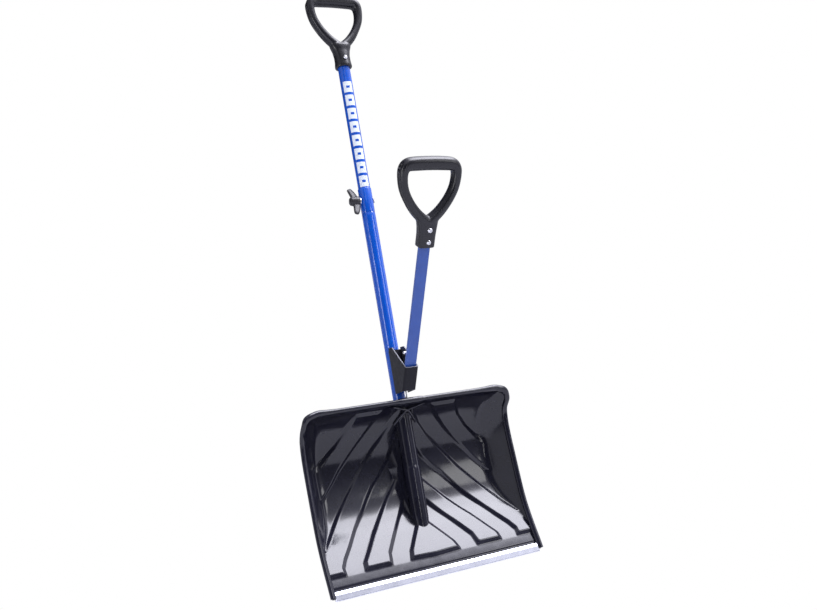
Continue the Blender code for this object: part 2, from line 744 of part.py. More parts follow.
def add_spring():
    points = spring_points()
    mesh = wire_mesh("torsion_spring", points, [WIRE_R] * len(points))
    place("torsion_spring", mesh, STEEL, SHAFT)


def grip_loop_mesh(name, rake):
    """The D-shaped loop, closed on itself, with its bar radius at each point."""
    half = [Vector(point) for point in GRIP_LOOP]
    cage = half + [Vector((-p.x, p.y, p.z)) for p in reversed(half[1:-1])]
    points, radii = [], []
    for x, z, radius in smooth(cage, 2, cyclic=True):
        back = rake * max(z * MM - GRIP_RAKE_FROM, 0.0)
        points.append((x * MM, back, z * MM))
        radii.append(radius * MM)
    return wire_mesh(name, points, radii, cyclic=True)


def add_upper_grip():
    frame = new_empty("upper_grip_frame", (0, 0, UPPER_GRIP_Z), 0.0, SHAFT)
    body = rod_mesh("upper_grip", (0, 0, 0), (0, 0, GRIP_SOCKET_LENGTH), ROUND_SOCKET_R)
    grip = place("upper_grip", body, BLACK_PLASTIC, frame)
    boolean(grip, helper("upper_loop", grip_loop_mesh("upper_loop", 0.0), frame), "UNION")
    bore = rod_mesh("bore", (0, 0, -SINK), (0, 0, GRIP_BORE_DEPTH), UPPER_TUBE_R + GAP)
    boolean(grip, helper("upper_grip_bore", bore, frame))
    height = UPPER_RIVET_Z - UPPER_GRIP_Z
    cutter = hole_along_y("upper_rivet_hole", GRIP_RIVET, frame, 0, height)
    boolean(grip, cutter)
    boolean(UPPER_TUBE, cutter)
    reach = ROUND_SOCKET_R + GAP
    front, back = Vector((0, -reach, height)), Vector((0, reach, height))
    out = Vector((0, 1, 0))
    rivet = add_headed("upper_grip_rivet", GRIP_RIVET, STEEL, frame, back + out * SINK, front)
    add_head(rivet, "upper_grip_rivet_tail", GRIP_RIVET, frame, back, out)


def add_lower_grip():
    front, back = -FLAT_SOCKET[1], -FLAT_SOCKET[0]
    frame = new_empty("lower_grip_frame", (0, -ARM_MIDDLE, LOWER_GRIP_Z), 0.0, ARM)
    body = box_mesh(
        "lower_grip",
        (-FLAT_SOCKET_HALF_WIDTH, front + ARM_MIDDLE, 0),
        (FLAT_SOCKET_HALF_WIDTH, back + ARM_MIDDLE, GRIP_SOCKET_LENGTH),
    )
    grip = place("lower_grip", body, BLACK_PLASTIC, frame)
    loop = grip_loop_mesh("lower_loop", LOWER_GRIP_RAKE)
    boolean(grip, helper("lower_loop", loop, frame), "UNION")
    half_width, half_thickness = ARM_HALF_WIDTH + GAP, ARM_HALF_THICKNESS + GAP
    slot = box_mesh(
        "slot", (-half_width, -half_thickness, -SINK), (half_width, half_thickness, GRIP_BORE_DEPTH)
    )
    boolean(grip, helper("lower_grip_slot", slot, frame))
    for index, height in enumerate(GRIP_SCREW_Z, 1):
        hole = bpy.data.objects[f"grip_screw_hole_{index}"]
        boolean(grip, hole)
        tail = (GRIP_SCREW_X, back + GRIP_SCREW_TAIL, height)
        seat = (GRIP_SCREW_X, front - GAP, height)
        add_headed(f"grip_screw_{index}", GRIP_SCREW, STEEL, ARM, tail, seat)
        nut_seat = (GRIP_SCREW_X, back + GAP, height)
        add_nut(f"grip_nut_{index}", GRIP_SCREW, ARM, nut_seat, hole)


def shade_parts():
    for part in PARTS.objects:
        if part.type == "MESH":
            part.data.shade_smooth()
            part.data.set_sharp_from_angle(angle=SHARP)


clear_scene()
PARTS = new_collection("snow_shovel")
CUTTERS = new_collection("cutters")

BLACK_PLASTIC = new_material("black_plastic", (0.022, 0.022, 0.028), 0.22, 0.0)
BLUE_PAINT = new_material("blue_paint", (0.012, 0.075, 0.52), 0.3, 0.2)
BLACK_STEEL = new_material("black_steel", (0.03, 0.03, 0.036), 0.45, 0.3)
ALUMINIUM = new_material("aluminium", (0.82, 0.83, 0.86), 0.3, 1.0)
STEEL = new_material("zinc_steel", (0.7, 0.71, 0.75), 0.28, 1.0)
BRASS = new_material("brass", (0.75, 0.55, 0.25), 0.3, 1.0)
RUBBER = new_material("rubber", (0.03, 0.03, 0.03), 0.8, 0.0)

UP_SHAFT = Vector((0.0, math.sin(SHAFT_LEAN), math.cos(SHAFT_LEAN)))
SHAFT = new_empty("shaft_frame", -HAND_Z * UP_SHAFT, -SHAFT_LEAN)
ARM = new_empty("arm_frame", (0, -PIN_FRONT, PIN_Z), ARM_LEAN, SHAFT)
STOP = new_empty("stop_frame", (0, -PIN_FRONT, PIN_Z), ARM_LEAN, SHAFT)
CLAMP = new_empty("clamp_frame", (0, 0, CLAMP_Z), 0.0, SHAFT)
KNOB = new_empty("knob_frame", (0, 0, CLAMP_Z), 0.0, SHAFT)

LOWER_TUBE, UPPER_TUBE = add_tubes()
add_scoop()
add_wear_strip()
add_clamp()
add_bracket()
add_pivot()
add_arm()
add_spring()
add_upper_grip()
add_lower_grip()
shade_parts()
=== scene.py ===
import json
import math

import bmesh
import bpy
import numpy as np
from mathutils import Matrix, Vector

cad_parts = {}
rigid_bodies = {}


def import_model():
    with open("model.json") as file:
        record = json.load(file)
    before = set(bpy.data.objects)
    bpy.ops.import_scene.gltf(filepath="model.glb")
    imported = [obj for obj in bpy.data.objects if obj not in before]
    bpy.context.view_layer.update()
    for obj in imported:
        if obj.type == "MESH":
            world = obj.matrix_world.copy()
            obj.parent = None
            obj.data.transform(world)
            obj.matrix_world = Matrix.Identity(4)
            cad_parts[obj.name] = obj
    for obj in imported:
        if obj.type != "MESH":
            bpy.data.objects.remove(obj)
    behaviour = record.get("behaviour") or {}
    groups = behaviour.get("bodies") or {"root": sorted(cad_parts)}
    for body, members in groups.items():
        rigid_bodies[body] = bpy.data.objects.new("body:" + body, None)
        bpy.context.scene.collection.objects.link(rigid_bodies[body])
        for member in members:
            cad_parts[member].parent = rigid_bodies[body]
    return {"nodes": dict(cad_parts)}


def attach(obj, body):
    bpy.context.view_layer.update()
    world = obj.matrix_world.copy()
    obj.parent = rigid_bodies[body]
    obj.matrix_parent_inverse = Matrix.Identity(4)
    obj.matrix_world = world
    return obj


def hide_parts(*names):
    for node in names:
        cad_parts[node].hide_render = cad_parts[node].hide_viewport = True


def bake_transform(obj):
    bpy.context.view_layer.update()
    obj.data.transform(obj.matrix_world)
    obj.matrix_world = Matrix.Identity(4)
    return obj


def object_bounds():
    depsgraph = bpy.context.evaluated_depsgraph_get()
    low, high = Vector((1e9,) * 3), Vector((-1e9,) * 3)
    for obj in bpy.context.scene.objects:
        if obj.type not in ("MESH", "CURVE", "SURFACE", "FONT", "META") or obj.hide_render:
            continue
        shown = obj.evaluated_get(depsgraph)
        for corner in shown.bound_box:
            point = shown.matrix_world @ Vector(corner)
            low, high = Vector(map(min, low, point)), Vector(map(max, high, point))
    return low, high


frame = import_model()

# Snow shovel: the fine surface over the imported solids. Two frames are used, as in the solids. In
# the shaft frame z runs up the shaft, x to the right and y to the back; "front" is -y. In the arm
# frame z runs up the arm from the pin. Lengths are in metres, and tables are in mm.
cad_low, cad_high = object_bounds()

MM = 0.001
SHAFT_LEAN = math.radians(21.7)
ARM_LEAN = math.radians(34.7)
HAND_Z = 1.169
PIN_FRONT = 35.6 * MM
PIN_Z = 342.5 * MM
CLAMP_Z = 724.0 * MM
SHAFT = Matrix.Rotation(-SHAFT_LEAN, 4, "X") @ Matrix.Translation((0.0, 0.0, -HAND_Z))
PIN = SHAFT @ Matrix.Translation((0.0, -PIN_FRONT, PIN_Z))
ARM = PIN @ Matrix.Rotation(ARM_LEAN, 4, "X")
CLAMP = SHAFT @ Matrix.Translation((0.0, 0.0, CLAMP_Z))

# Scoop: distance in front of the shaft axis, height and half width of the floor, then half width,
# distance and height of the wall's edge
STATIONS = (
    (44.0, 301.5, 187.0, 198.0, 46.0, 304.5),
    (23.0, 293.0, 188.0, 216.0, 45.5, 298.0),
    (4.0, 278.0, 187.0, 224.0, 39.5, 281.0),
    (-13.0, 256.0, 186.0, 224.0, 23.0, 261.0),
    (-26.0, 232.0, 186.0, 224.0, 18.0, 236.0),
    (-33.0, 207.0, 186.0, 224.0, 17.8, 210.0),
    (-35.0, 181.0, 185.5, 224.0, 19.6, 184.0),
    (-32.5, 150.0, 185.5, 224.0, 22.2, 153.0),
    (-23.0, 114.0, 188.0, 224.0, 25.6, 113.0),
    (-8.0, 84.5, 195.0, 224.0, 29.0, 83.0),
    (13.0, 55.0, 207.0, 224.0, 35.0, 54.0),
    (37.0, 18.5, 218.0, 224.0, 45.8, 18.5),
    (52.6, -8.8, 221.5, 224.0, 55.0, -8.0),
    (59.9, -24.6, 222.5, 224.0, 60.0, -24.0),
)
SHELL = 3.0
CORNER_R = 12.0
CORNER_SHARE = 0.45
FLAT_HALF_WIDTH = 180.0
ROW_STEP = 1.5
COLUMN_STEP = 1.6
RIM_R = 4.3
RIM_DEEP = 1.7
RIM_HOOD_FROM = 285.0
LIP_FRONT = 46.0
LIP_HEIGHT = 305.0
STRIP_SEAT_FROM = 366.0
STRIP_SEAT_DEPTH = 1.4

# Raised bands of the floor, as (distance from the middle, distance from the lip), on both sides
APRON_FROM = 350.0
APRON_TILT = 0.045
BAND_HEIGHT = 4.8
BAND_SLOPE = 9.0
BANDS = (
    ((108, 22), (125, 62), (146, 92), (168, 115), (182, 129), (215, 160), (215, 215),
     (181, 190), (159, 165), (140, 141), (118, 116), (95, 88), (75, 60), (55, 22)),
    ((13, 26), (34, 67), (54, 96), (76, 122), (98, 148), (118, 174), (140, 200), (163, 229),
     (182, 255), (201, 281), (209, 293), (240, 300), (240, 346), (187, 346), (187, 334),
     (178, 318), (160, 294), (138, 262), (112, 229), (94, 204), (78, 183), (59, 164),
     (41, 142), (5, 80)),
    ((5, 152), (33, 188), (54, 212), (80, 246), (106, 280), (129, 313), (143, 332),
     (145, 346), (94, 346), (89, 324), (73, 300), (49, 265), (26, 232), (5, 208)),
    ((0, 256), (12, 279), (33, 310), (46, 330), (51, 346), (0, 348), (-51, 346), (-46, 330),
     (-33, 310), (-12, 279)),
)

# Wear strip: where it starts as (y, z), how far it slopes from the shaft's line, and its section
# as (distance down the blade, distance above it)
STRIP_START = (-55.6, -14.0)
STRIP_ANGLE = math.radians(30.0)
STRIP_HALF_WIDTH = 219.0 * MM
STRIP_OUTLINE = (
    (0.0, 0.0), (6.0, 0.0), (15.6, -1.95), (16.4, -2.7), (16.5, -3.6), (14.4, -6.0), (-4.0, -6.0),
    (-4.0, -4.8), (13.9, -4.8), (15.2, -3.6), (14.9, -3.1), (6.0, -1.2), (0.0, -1.2),
)

# The socket and the buttress that joins it to the floor: height, half width on the floor
BUTTRESS = (
    (66.0, 12.0), (85.0, 19.0), (107.0, 24.0), (151.0, 28.0), (172.0, 33.0), (184.0, 38.0),
    (207.0, 28.0), (241.0, 17.0), (269.0, 8.0), (282.0, 5.0),
)

BOSS_HEIGHTS = (140.0, 205.0)
CRIMP_DOT_FRONT = 13.3 * MM
CRIMP_DOT_Z = 697.0 * MM

# D-grip: the loop's half outline as x, z, half width in the loop's plane and half depth
GRIP_LOOP = (
    (0.0, 152.6, 12.6, 12.6), (28.0, 152.2, 12.6, 12.6), (44.0, 150.6, 12.0, 12.4),
    (52.6, 143.5, 10.0, 12.4), (54.4, 128.0, 8.6, 12.0), (50.5, 107.0, 8.4, 11.6),
    (40.0, 86.0, 8.6, 11.4), (25.5, 67.0, 9.2, 11.6), (10.5, 53.5, 9.8, 12.2),
    (0.0, 48.0, 10.0, 12.6),
)
UPPER_GRIP_Z = 1016.0 * MM
UPPER_RIVET_Z = 1034.0 * MM
LOWER_GRIP_FRONT = 13.8 * MM
LOWER_GRIP_Z = 286.0 * MM
LOWER_GRIP_RAKE = 0.11
RAKE_FROM = 45.0
GRIP_CROWN = 0.3
NECK_SIDES = 48
GRIP_SCREW_X = 2.0 * MM
GRIP_SCREW_FRONT = 25.8 * MM
GRIP_SCREW_Z = (297.0 * MM, 320.0 * MM)
PAN_HEAD_R = 4.8

# Bracket: the web's front and back in the arm's frame, half widths and the folds' radii
WEB_FRONT = 22.5
WEB_BACK = 20.3
BRACKET_HALF_WIDTH = 14.25 * MM
BRACKET_INSIDE = 12.05 * MM
FOLD_R = 3.8 * MM
INSIDE_FOLD_R = 1.8 * MM
# Slot for the painted highlight: pale grey along the bracket's cut edges
PAINTED_HIGHLIGHT_SLOT = 1
# Slot for painted light: a lighter coat on the side plates' inner faces
PAINTED_LIGHT_SLOT = 2

WIRE_R = 2.8 * MM
COIL_R = 8.1 * MM
COIL_PITCH = 5.8 * MM
COIL_START = math.radians(-6.0)
COIL_END = math.radians(685.3)
LOWER_LEG = 31.0 * MM
UPPER_LEG = 62.0 * MM
HOOK_BEND = 6.0 * MM
HOOK_TIP_X = -14.3 * MM
WING_TURN = math.radians(-20.0)


# ---- mesh tools

def smooth_rows(rows, steps):
    """Rows of numbers on a Catmull-Rom curve through the given rows."""
    rows = np.array(rows, float)
    last = len(rows) - 1
    made = []
    for index in range(last):
        a, b, c, d = (rows[min(max(index + k, 0), last)] for k in (-1, 0, 1, 2))
        for step in range(steps):
            t = step / steps
            made.append(0.5 * (2 * b + (c - a) * t + (2 * a - 5 * b + 4 * c - d) * t * t
                               + (3 * b - a - 3 * c + d) * t ** 3))
    made.append(rows[last])
    return np.array(made)


def spaced(rows, gap):
    """The rows set at an even spacing along the first two numbers' curve."""
    along = arc_length(rows[:, :2])
    count = max(int(round(along[-1] / gap)), 1)
    where = np.linspace(0.0, along[-1], count + 1)
    return np.column_stack([np.interp(where, along, column) for column in rows.T]), where


def arc_length(points):
    steps = np.linalg.norm(np.diff(points, axis=0), axis=1)
    return np.concatenate([[0.0], np.cumsum(steps)])


def unit(rows):
    return rows / np.linalg.norm(rows, axis=1)[:, None]


def oblong(sides, power):
    """The cosine-like and sine-like numbers of a rounded oblong. Power 2 is an ellipse."""
    turn = np.linspace(0.0, math.tau, sides, endpoint=False)
    return [np.sign(part) * np.abs(part) ** (2 / power) for part in (np.cos(turn), np.sin(turn))]


def new_object(name, mesh, matrix=SHAFT):
    made = bpy.data.objects.new(name, mesh)
    made.matrix_world = matrix
    bpy.context.scene.collection.objects.link(made)
    return made


def grid_faces(rows, columns, close_rows=False, close_columns=False):
    i = np.arange(rows if close_rows else rows - 1)[:, None]
    j = np.arange(columns if close_columns else columns - 1)[None, :]
    i2, j2 = (i + 1) % rows, (j + 1) % columns
    corners = (i * columns + j, i2 * columns + j, i2 * columns + j2, i * columns + j2)
    return np.stack(np.broadcast_arrays(*corners), axis=-1).reshape(-1, 4)


def grid_mesh(name, points, close_rows=False, close_columns=False, caps=False):
    """A mesh from rows of points. Caps close the first and last rows."""
    rows, columns = points.shape[:2]
    faces = grid_faces(rows, columns, close_rows, close_columns).tolist()
    if caps:
        faces.append(list(range(columns))[::-1])
        faces.append(list(range((rows - 1) * columns, rows * columns)))
    mesh = bpy.data.meshes.new(name)
    mesh.from_pydata(points.reshape(-1, 3).tolist(), [], faces)
    shape = bmesh.new()
    shape.from_mesh(mesh)
    if caps or (close_rows and close_columns):
        bmesh.ops.recalc_face_normals(shape, faces=shape.faces)
    shape.to_mesh(mesh)
    shape.free()
    mesh.shade_smooth()
    return mesh


def solid_mesh(name, rings):
    return grid_mesh(name, rings, close_columns=True, caps=True)


def sweep_mesh(name, path, widths, depths, sides, side_axis, power=2.0, cyclic=False):
    """A bar along a path that lies in a plane whose normal is side_axis. Its section is a rounded
    oblong, widths across the path in the plane and depths along side_axis."""
    path = np.array(path, float)
    if cyclic:
        ahead, behind = np.roll(path, -1, axis=0), np.roll(path, 1, axis=0)
    else:
        ahead = np.vstack([path[1:], 2 * path[-1:] - path[-2:-1]])
        behind = np.vstack([2 * path[:1] - path[1:2], path[:-1]])
    heading = unit(ahead - behind)
    side = unit(np.cross(heading, np.array(side_axis, float)))
    up = np.cross(side, heading)
    across, over = oblong(sides, power)
    widths = np.broadcast_to(widths, len(path))
    depths = np.broadcast_to(depths, len(path))
    points = (path[:, None] + side[:, None] * (widths[:, None] * across)[..., None]
              + up[:, None] * (depths[:, None] * over)[..., None])
    return grid_mesh(name, points, close_rows=cyclic, close_columns=True, caps=not cyclic)


def turned_mesh(name, profile, sides=96, axis="Z"):
    """A solid of revolution from a profile of (radius, height) in mm, which is closed to its
    start. Axis "X" points height to the left, and "-Y" points it to the front."""
    turn = np.linspace(0.0, math.tau, sides, endpoint=False)
    profile = np.array(profile) * MM
    points = np.stack([
        profile[:, :1] * np.cos(turn), profile[:, :1] * np.sin(turn),
        np.repeat(profile[:, 1:], sides, axis=1)], axis=-1)
    mesh = grid_mesh(name, points, close_rows=True, close_columns=True)
    if axis == "X":
        mesh.transform(Matrix.Rotation(math.radians(-90.0), 4, "Y"))
    elif axis == "-Y":
        mesh.transform(Matrix.Rotation(math.radians(90.0), 4, "X"))
    return mesh


def from_bmesh(name, shape):
    mesh = bpy.data.meshes.new(name)
    shape.to_mesh(mesh)
    shape.free()
    return mesh


def box_mesh(name, low, high):
    shape = bmesh.new()
    bmesh.ops.create_cube(shape, size=1.0)
    for vert in shape.verts:
        vert.co = Vector([low[k] + (vert.co[k] + 0.5) * (high[k] - low[k]) for k in range(3)])
    return from_bmesh(name, shape)


def prism_mesh(name, outline, half_width, fold_bevel=0.0, folds=()):
    """An outline of (y, z) extruded along x. The outline's edge between the two points that folds
    names is rounded on both sides."""
    shape = bmesh.new()
    verts = [shape.verts.new((-half_width, y, z)) for y, z in outline]
    face = shape.faces.new(verts)
    made = bmesh.ops.extrude_face_region(shape, geom=[face])
    moved = [item for item in made["geom"] if isinstance(item, bmesh.types.BMVert)]
    bmesh.ops.translate(shape, verts=moved, vec=(2 * half_width, 0.0, 0.0))
    bmesh.ops.recalc_face_normals(shape, faces=shape.faces)
    if fold_bevel:
        ends = [Vector(outline[index]) for index in folds]
        middle = (ends[0] + ends[1]) / 2
        edges = []
        for edge in shape.edges:
            low, high = (vert.co for vert in edge.verts)
            if abs(low.x - high.x) < MM and ((low.yz + high.yz) / 2 - middle).length < MM:
                edges.append(edge)
        bmesh.ops.bevel(
            shape, geom=edges, offset=fold_bevel, segments=7, affect="EDGES", profile=0.5)
    return from_bmesh(name, shape)


def settle(obj):
    """The object's modifiers made part of its mesh."""
    bpy.context.view_layer.update()
    graph = bpy.context.evaluated_depsgraph_get()
    mesh = bpy.data.meshes.new_from_object(obj.evaluated_get(graph))
    obj.modifiers.clear()
    obj.data = mesh
    return obj


def cut_out(obj, mesh, matrix=SHAFT):
    """Cuts a closed mesh out of the object."""
    other = new_object("cutter", mesh, matrix)
    modifier = obj.modifiers.new("cut", "BOOLEAN")
    modifier.operation = "DIFFERENCE"
    modifier.object = other
    modifier.solver = "EXACT"
    settle(obj)
    bpy.data.objects.remove(other)


def joined(name, meshes, matrix=SHAFT):
    """One object from several meshes, which may overlap."""
    shape = bmesh.new()
    for mesh in meshes:
        shape.from_mesh(mesh)
    return new_object(name, from_bmesh(name, shape), matrix)


def fused(obj, voxel, passes):
    """The overlapping closed parts of an object made one skin, with soft moulded fillets."""
    remesh = obj.modifiers.new("fuse", "REMESH")
    remesh.mode = "VOXEL"
    remesh.voxel_size = voxel
    soften = obj.modifiers.new("soften", "SMOOTH")
    soften.factor = 0.5
    soften.iterations = passes
    settle(obj)
    obj.data.shade_smooth()
    return obj


def bevelled(obj, width, angle=30.0):
    """Rounds the edges sharper than the angle, and evens the shading round them."""
    weld = obj.modifiers.new("weld", "WELD")
    weld.merge_threshold = 0.01 * MM
    bevel = obj.modifiers.new("round", "BEVEL")
    bevel.width = width
    bevel.segments = 3
    bevel.limit_method = "ANGLE"
    bevel.angle_limit = math.radians(angle)
    smooth = obj.modifiers.new("weighted", "WEIGHTED_NORMAL")
    smooth.keep_sharp = True


def smooth_to(obj, degrees):
    """Smooth shading, except across edges sharper than the angle."""
    obj.data.shade_smooth()
    obj.data.set_sharp_from_angle(angle=math.radians(degrees))


def flat_distance(points, polygon):
    """Distance of points from a polygon's outline, more than 0 inside it."""
    polygon = np.array(polygon, float)
    nearest = np.full(len(points), 1e9)
    inside = np.zeros(len(points), bool)
    for a, b in zip(polygon, np.roll(polygon, -1, axis=0)):
        edge = b - a
        share = np.clip(((points - a) @ edge) / (edge @ edge), 0.0, 1.0)
        nearest = np.minimum(nearest, np.linalg.norm(points - a - share[:, None] * edge, axis=1))
        if a[1] != b[1]:
            crosses = (points[:, 1] > min(a[1], b[1])) & (points[:, 1] <= max(a[1], b[1]))
            at = a[0] + (points[:, 1] - a[1]) * edge[0] / edge[1]
            inside ^= crosses & (points[:, 0] < at)
    return np.where(inside, nearest, -nearest)


def smoothstep(value):
    value = np.clip(value, 0.0, 1.0)
    return value * value * (3 - 2 * value)


# ---- materials

def new_material(name):
    made = bpy.data.materials.new(name)
    made.use_nodes = True
    return made, made.node_tree, made.node_tree.nodes["Principled BSDF"]


def plug(tree, socket, value):
    if isinstance(value, bpy.types.NodeSocket):
        tree.links.new(value, socket)
    else:
        socket.default_value = value


def surface(tree, shader, tone, haze, normal):
    for key, value in (("Base Color", tone), ("Roughness", haze), ("Normal", normal)):
        plug(tree, shader.inputs[key], value)


def patches(tree, where, scale, low, high):
    """Blotches, as a value from 0 to 1."""
    return ranged(tree, noise(tree, where, scale, 4.0, 0.6), low, high)


def coordinates(tree, stretch=(1.0, 1.0, 1.0), turn=(0.0, 0.0, 0.0)):
    """The piece's own coordinates, turned into the shaft frame, then stretched and turned."""
    source = tree.nodes.new("ShaderNodeTexCoord")
    shaft = tree.nodes.new("ShaderNodeMapping")
    shaft.inputs["Rotation"].default_value = (SHAFT_LEAN, 0.0, 0.0)
    shaft.inputs["Location"].default_value = (0.0, 0.0, HAND_Z)
    tree.links.new(source.outputs["Object"], shaft.inputs["Vector"])
    mapping = tree.nodes.new("ShaderNodeMapping")
    mapping.inputs["Scale"].default_value = stretch
    mapping.inputs["Rotation"].default_value = turn
    tree.links.new(shaft.outputs["Vector"], mapping.inputs["Vector"])
    return mapping.outputs["Vector"]


def noise(tree, where, scale, detail=3.0, roughness=0.5):
    made = tree.nodes.new("ShaderNodeTexNoise")
    plug(tree, made.inputs["Vector"], where)
    made.inputs["Scale"].default_value = scale
    made.inputs["Detail"].default_value = detail
    made.inputs["Roughness"].default_value = roughness
    return made.outputs["Fac"]


def ranged(tree, value, low, high, to_low=0.0, to_high=1.0):
    made = tree.nodes.new("ShaderNodeMapRange")
    plug(tree, made.inputs["Value"], value)
    limits = {"From Min": low, "From Max": high, "To Min": to_low, "To Max": to_high}
    for key, number in limits.items():
        made.inputs[key].default_value = number
    return made.outputs["Result"]


def calculated(tree, operation, first, second):
    made = tree.nodes.new("ShaderNodeMath")
    made.operation = operation
    plug(tree, made.inputs[0], first)
    plug(tree, made.inputs[1], second)
    return made.outputs[0]


def product(tree, *values):
    whole = values[0]
    for value in values[1:]:
        whole = calculated(tree, "MULTIPLY", whole, value)
    return whole


def mixed(tree, factor, first, second):
    made = tree.nodes.new("ShaderNodeMix")
    made.data_type = "RGBA"
    plug(tree, made.inputs[0], factor)
    for index, value in ((6, first), (7, second)):
        linked = isinstance(value, bpy.types.NodeSocket)
        plug(tree, made.inputs[index], value if linked else (*value, 1.0))
    return made.outputs[2]


def bump(tree, height, distance, after=None):
    made = tree.nodes.new("ShaderNodeBump")
    made.inputs["Distance"].default_value = distance
    made.inputs["Strength"].default_value = 1.0
    plug(tree, made.inputs["Height"], height)
    if after is not None:
        plug(tree, made.inputs["Normal"], after)
    return made.outputs["Normal"]


def scratches(tree, stretch, turn, scale, from_share, to_share):
    """Thin lines along one way, as a value from 0 to 1."""
    lines = noise(tree, coordinates(tree, stretch, turn), scale, 4.0, 0.6)
    return ranged(tree, lines, from_share, to_share)


def black_plastic(name, base, rough, wave=0.00022, grain=0.000005, shine=0.5):
    """Moulded black plastic: a gloss skin with slight waves, fine grain and rubbed patches."""
    made, tree, shader = new_material(name)
    where = coordinates(tree)
    lighter = [1.5 * part for part in base]
    tone = mixed(tree, patches(tree, where, 14.0, 0.35, 0.7), base, lighter)
    marks = scratches(tree, (9.0, 90.0, 5.0), (0.3, 0.5, 0.2), 22.0, 0.62, 0.82)
    tone = mixed(tree, product(tree, marks, 0.35), tone, (0.05, 0.05, 0.058))
    haze = ranged(tree, noise(tree, where, 55.0, 5.0, 0.65), 0.3, 0.75, rough, rough + 0.09)
    haze = calculated(tree, "ADD", haze, product(tree, marks, 0.12))
    waves = bump(tree, noise(tree, where, 38.0, 2.0, 0.4), wave)
    fine = bump(tree, noise(tree, where, 1300.0, 2.0), grain, after=waves)
    surface(tree, shader, tone, haze, fine)
    shader.inputs["Specular IOR Level"].default_value = shine
    return made


def blue_paint(name, base, deep, rough):
    """Powder coat: orange peel, small colour drift, and light rubbing."""
    made, tree, shader = new_material(name)
    where = coordinates(tree)
    tone = mixed(tree, patches(tree, where, 20.0, 0.3, 0.7), deep, base)
    rubs = scratches(tree, (60.0, 60.0, 4.0), (0.0, 0.0, 0.0), 9.0, 0.63, 0.8)
    tone = mixed(tree, product(tree, rubs, 0.18), tone, (0.25, 0.38, 0.8))
    haze = ranged(tree, noise(tree, where, 90.0, 4.0), 0.3, 0.75, rough, rough + 0.12)
    surface(tree, shader, tone, haze, bump(tree, noise(tree, where, 700.0, 2.0), 0.000006))
    shader.inputs["Coat Weight"].default_value = 0.3
    shader.inputs["Coat Roughness"].default_value = 0.05
    return made, tree, shader, tone


# Pale blocks up the tube, and the notch in each. Turns are from the tube's front, in radians
BLOCKS_FROM = 0.752
BLOCKS_TO = 0.985
BLOCK_PITCH = 0.0295
BLOCK_SHARE = 0.8
BLOCK_TURN = 0.25
BLOCK_HALF_TURN = 0.8
BLOCK_COLOUR = (0.85, 0.9, 0.97)
NOTCH_MIDDLE = 0.4
NOTCH_HALF_SHARE = 0.09
NOTCH_HALF_TURN = 0.3


def block_share(tree):
    """1 inside the pale blocks along the tube's front left, and 0 elsewhere."""
    split = tree.nodes.new("ShaderNodeSeparateXYZ")
    plug(tree, split.inputs[0], coordinates(tree))
    along, right = split.outputs["Z"], split.outputs["X"]
    turned = calculated(tree, "ARCTAN2", right, product(tree, split.outputs["Y"], -1.0))
    turned = calculated(tree, "ADD", turned, BLOCK_TURN)
    off_middle = calculated(tree, "ABSOLUTE", turned, 0.0)
    phase = calculated(tree, "SUBTRACT", along, BLOCKS_FROM)
    phase = calculated(tree, "DIVIDE", phase, BLOCK_PITCH)
    phase = calculated(tree, "FRACT", phase, 0.0)
    notch = calculated(tree, "COMPARE", phase, NOTCH_MIDDLE)
    notch.node.inputs[2].default_value = NOTCH_HALF_SHARE
    notch = product(tree, notch, calculated(tree, "LESS_THAN", off_middle, NOTCH_HALF_TURN))
    return product(
        tree,
        calculated(tree, "LESS_THAN", phase, BLOCK_SHARE),
        calculated(tree, "LESS_THAN", off_middle, BLOCK_HALF_TURN),
        calculated(tree, "GREATER_THAN", along, BLOCKS_FROM),
        calculated(tree, "LESS_THAN", along, BLOCKS_TO),
        calculated(tree, "SUBTRACT", 1.0, notch),
    )


def tube_paint(name, marked):
    """The tubes' blue. The marked tube has pale blocks in place of lettering, slightly worn."""
    made, tree, shader, tone = blue_paint(name, (0.003, 0.098, 0.58), (0.002, 0.078, 0.5), 0.08)
    if marked:
        worn = noise(tree, coordinates(tree), 260.0, 3.0)
        share = product(tree, block_share(tree), ranged(tree, worn, 0.3, 0.42, 0.8, 1.0))
        plug(tree, shader.inputs["Base Color"], mixed(tree, share, tone, BLOCK_COLOUR))
    return made


def metal(name, base, rough, stretch):
    """Bare metal: drawn or brushed lines, tarnish patches and bright rubbed specks."""
    made, tree, shader = new_material(name)
    where = coordinates(tree)
    lines = noise(tree, coordinates(tree, stretch), 60.0, 5.0, 0.6)
    tarnish = [0.78 * part for part in base]
    tone = mixed(tree, patches(tree, where, 45.0, 0.35, 0.75), base, tarnish)
    rubs = ranged(tree, noise(tree, where, 500.0, 4.0, 0.7), 0.6, 0.75, 0.0, 0.3)
    tone = mixed(tree, rubs, tone, (0.95, 0.95, 0.97))
    haze = ranged(tree, lines, 0.3, 0.7, rough, rough + 0.1)
    surface(tree, shader, tone, haze, bump(tree, lines, 0.000003))
    shader.inputs["Metallic"].default_value = 1.0
    return made


def black_steel(name, base, rubbed):
    """Black coat on sheet steel, rubbed to a lighter grey in places."""
    made, tree, shader = new_material(name)
    where = coordinates(tree)
    lighter = [1.4 * part for part in base]
    tone = mixed(tree, patches(tree, where, 30.0, 0.3, 0.7), base, lighter)
    rubs = ranged(tree, noise(tree, where, 420.0, 4.0, 0.7), 0.6, 0.72, 0.0, rubbed)
    tone = mixed(tree, rubs, tone, (0.3, 0.3, 0.33))
    haze = ranged(tree, noise(tree, where, 160.0, 4.0), 0.3, 0.7, 0.34, 0.5)
    surface(tree, shader, tone, haze, bump(tree, noise(tree, where, 900.0, 2.0), 0.00001))
    shader.inputs["Specular IOR Level"].default_value = 0.2
    return made


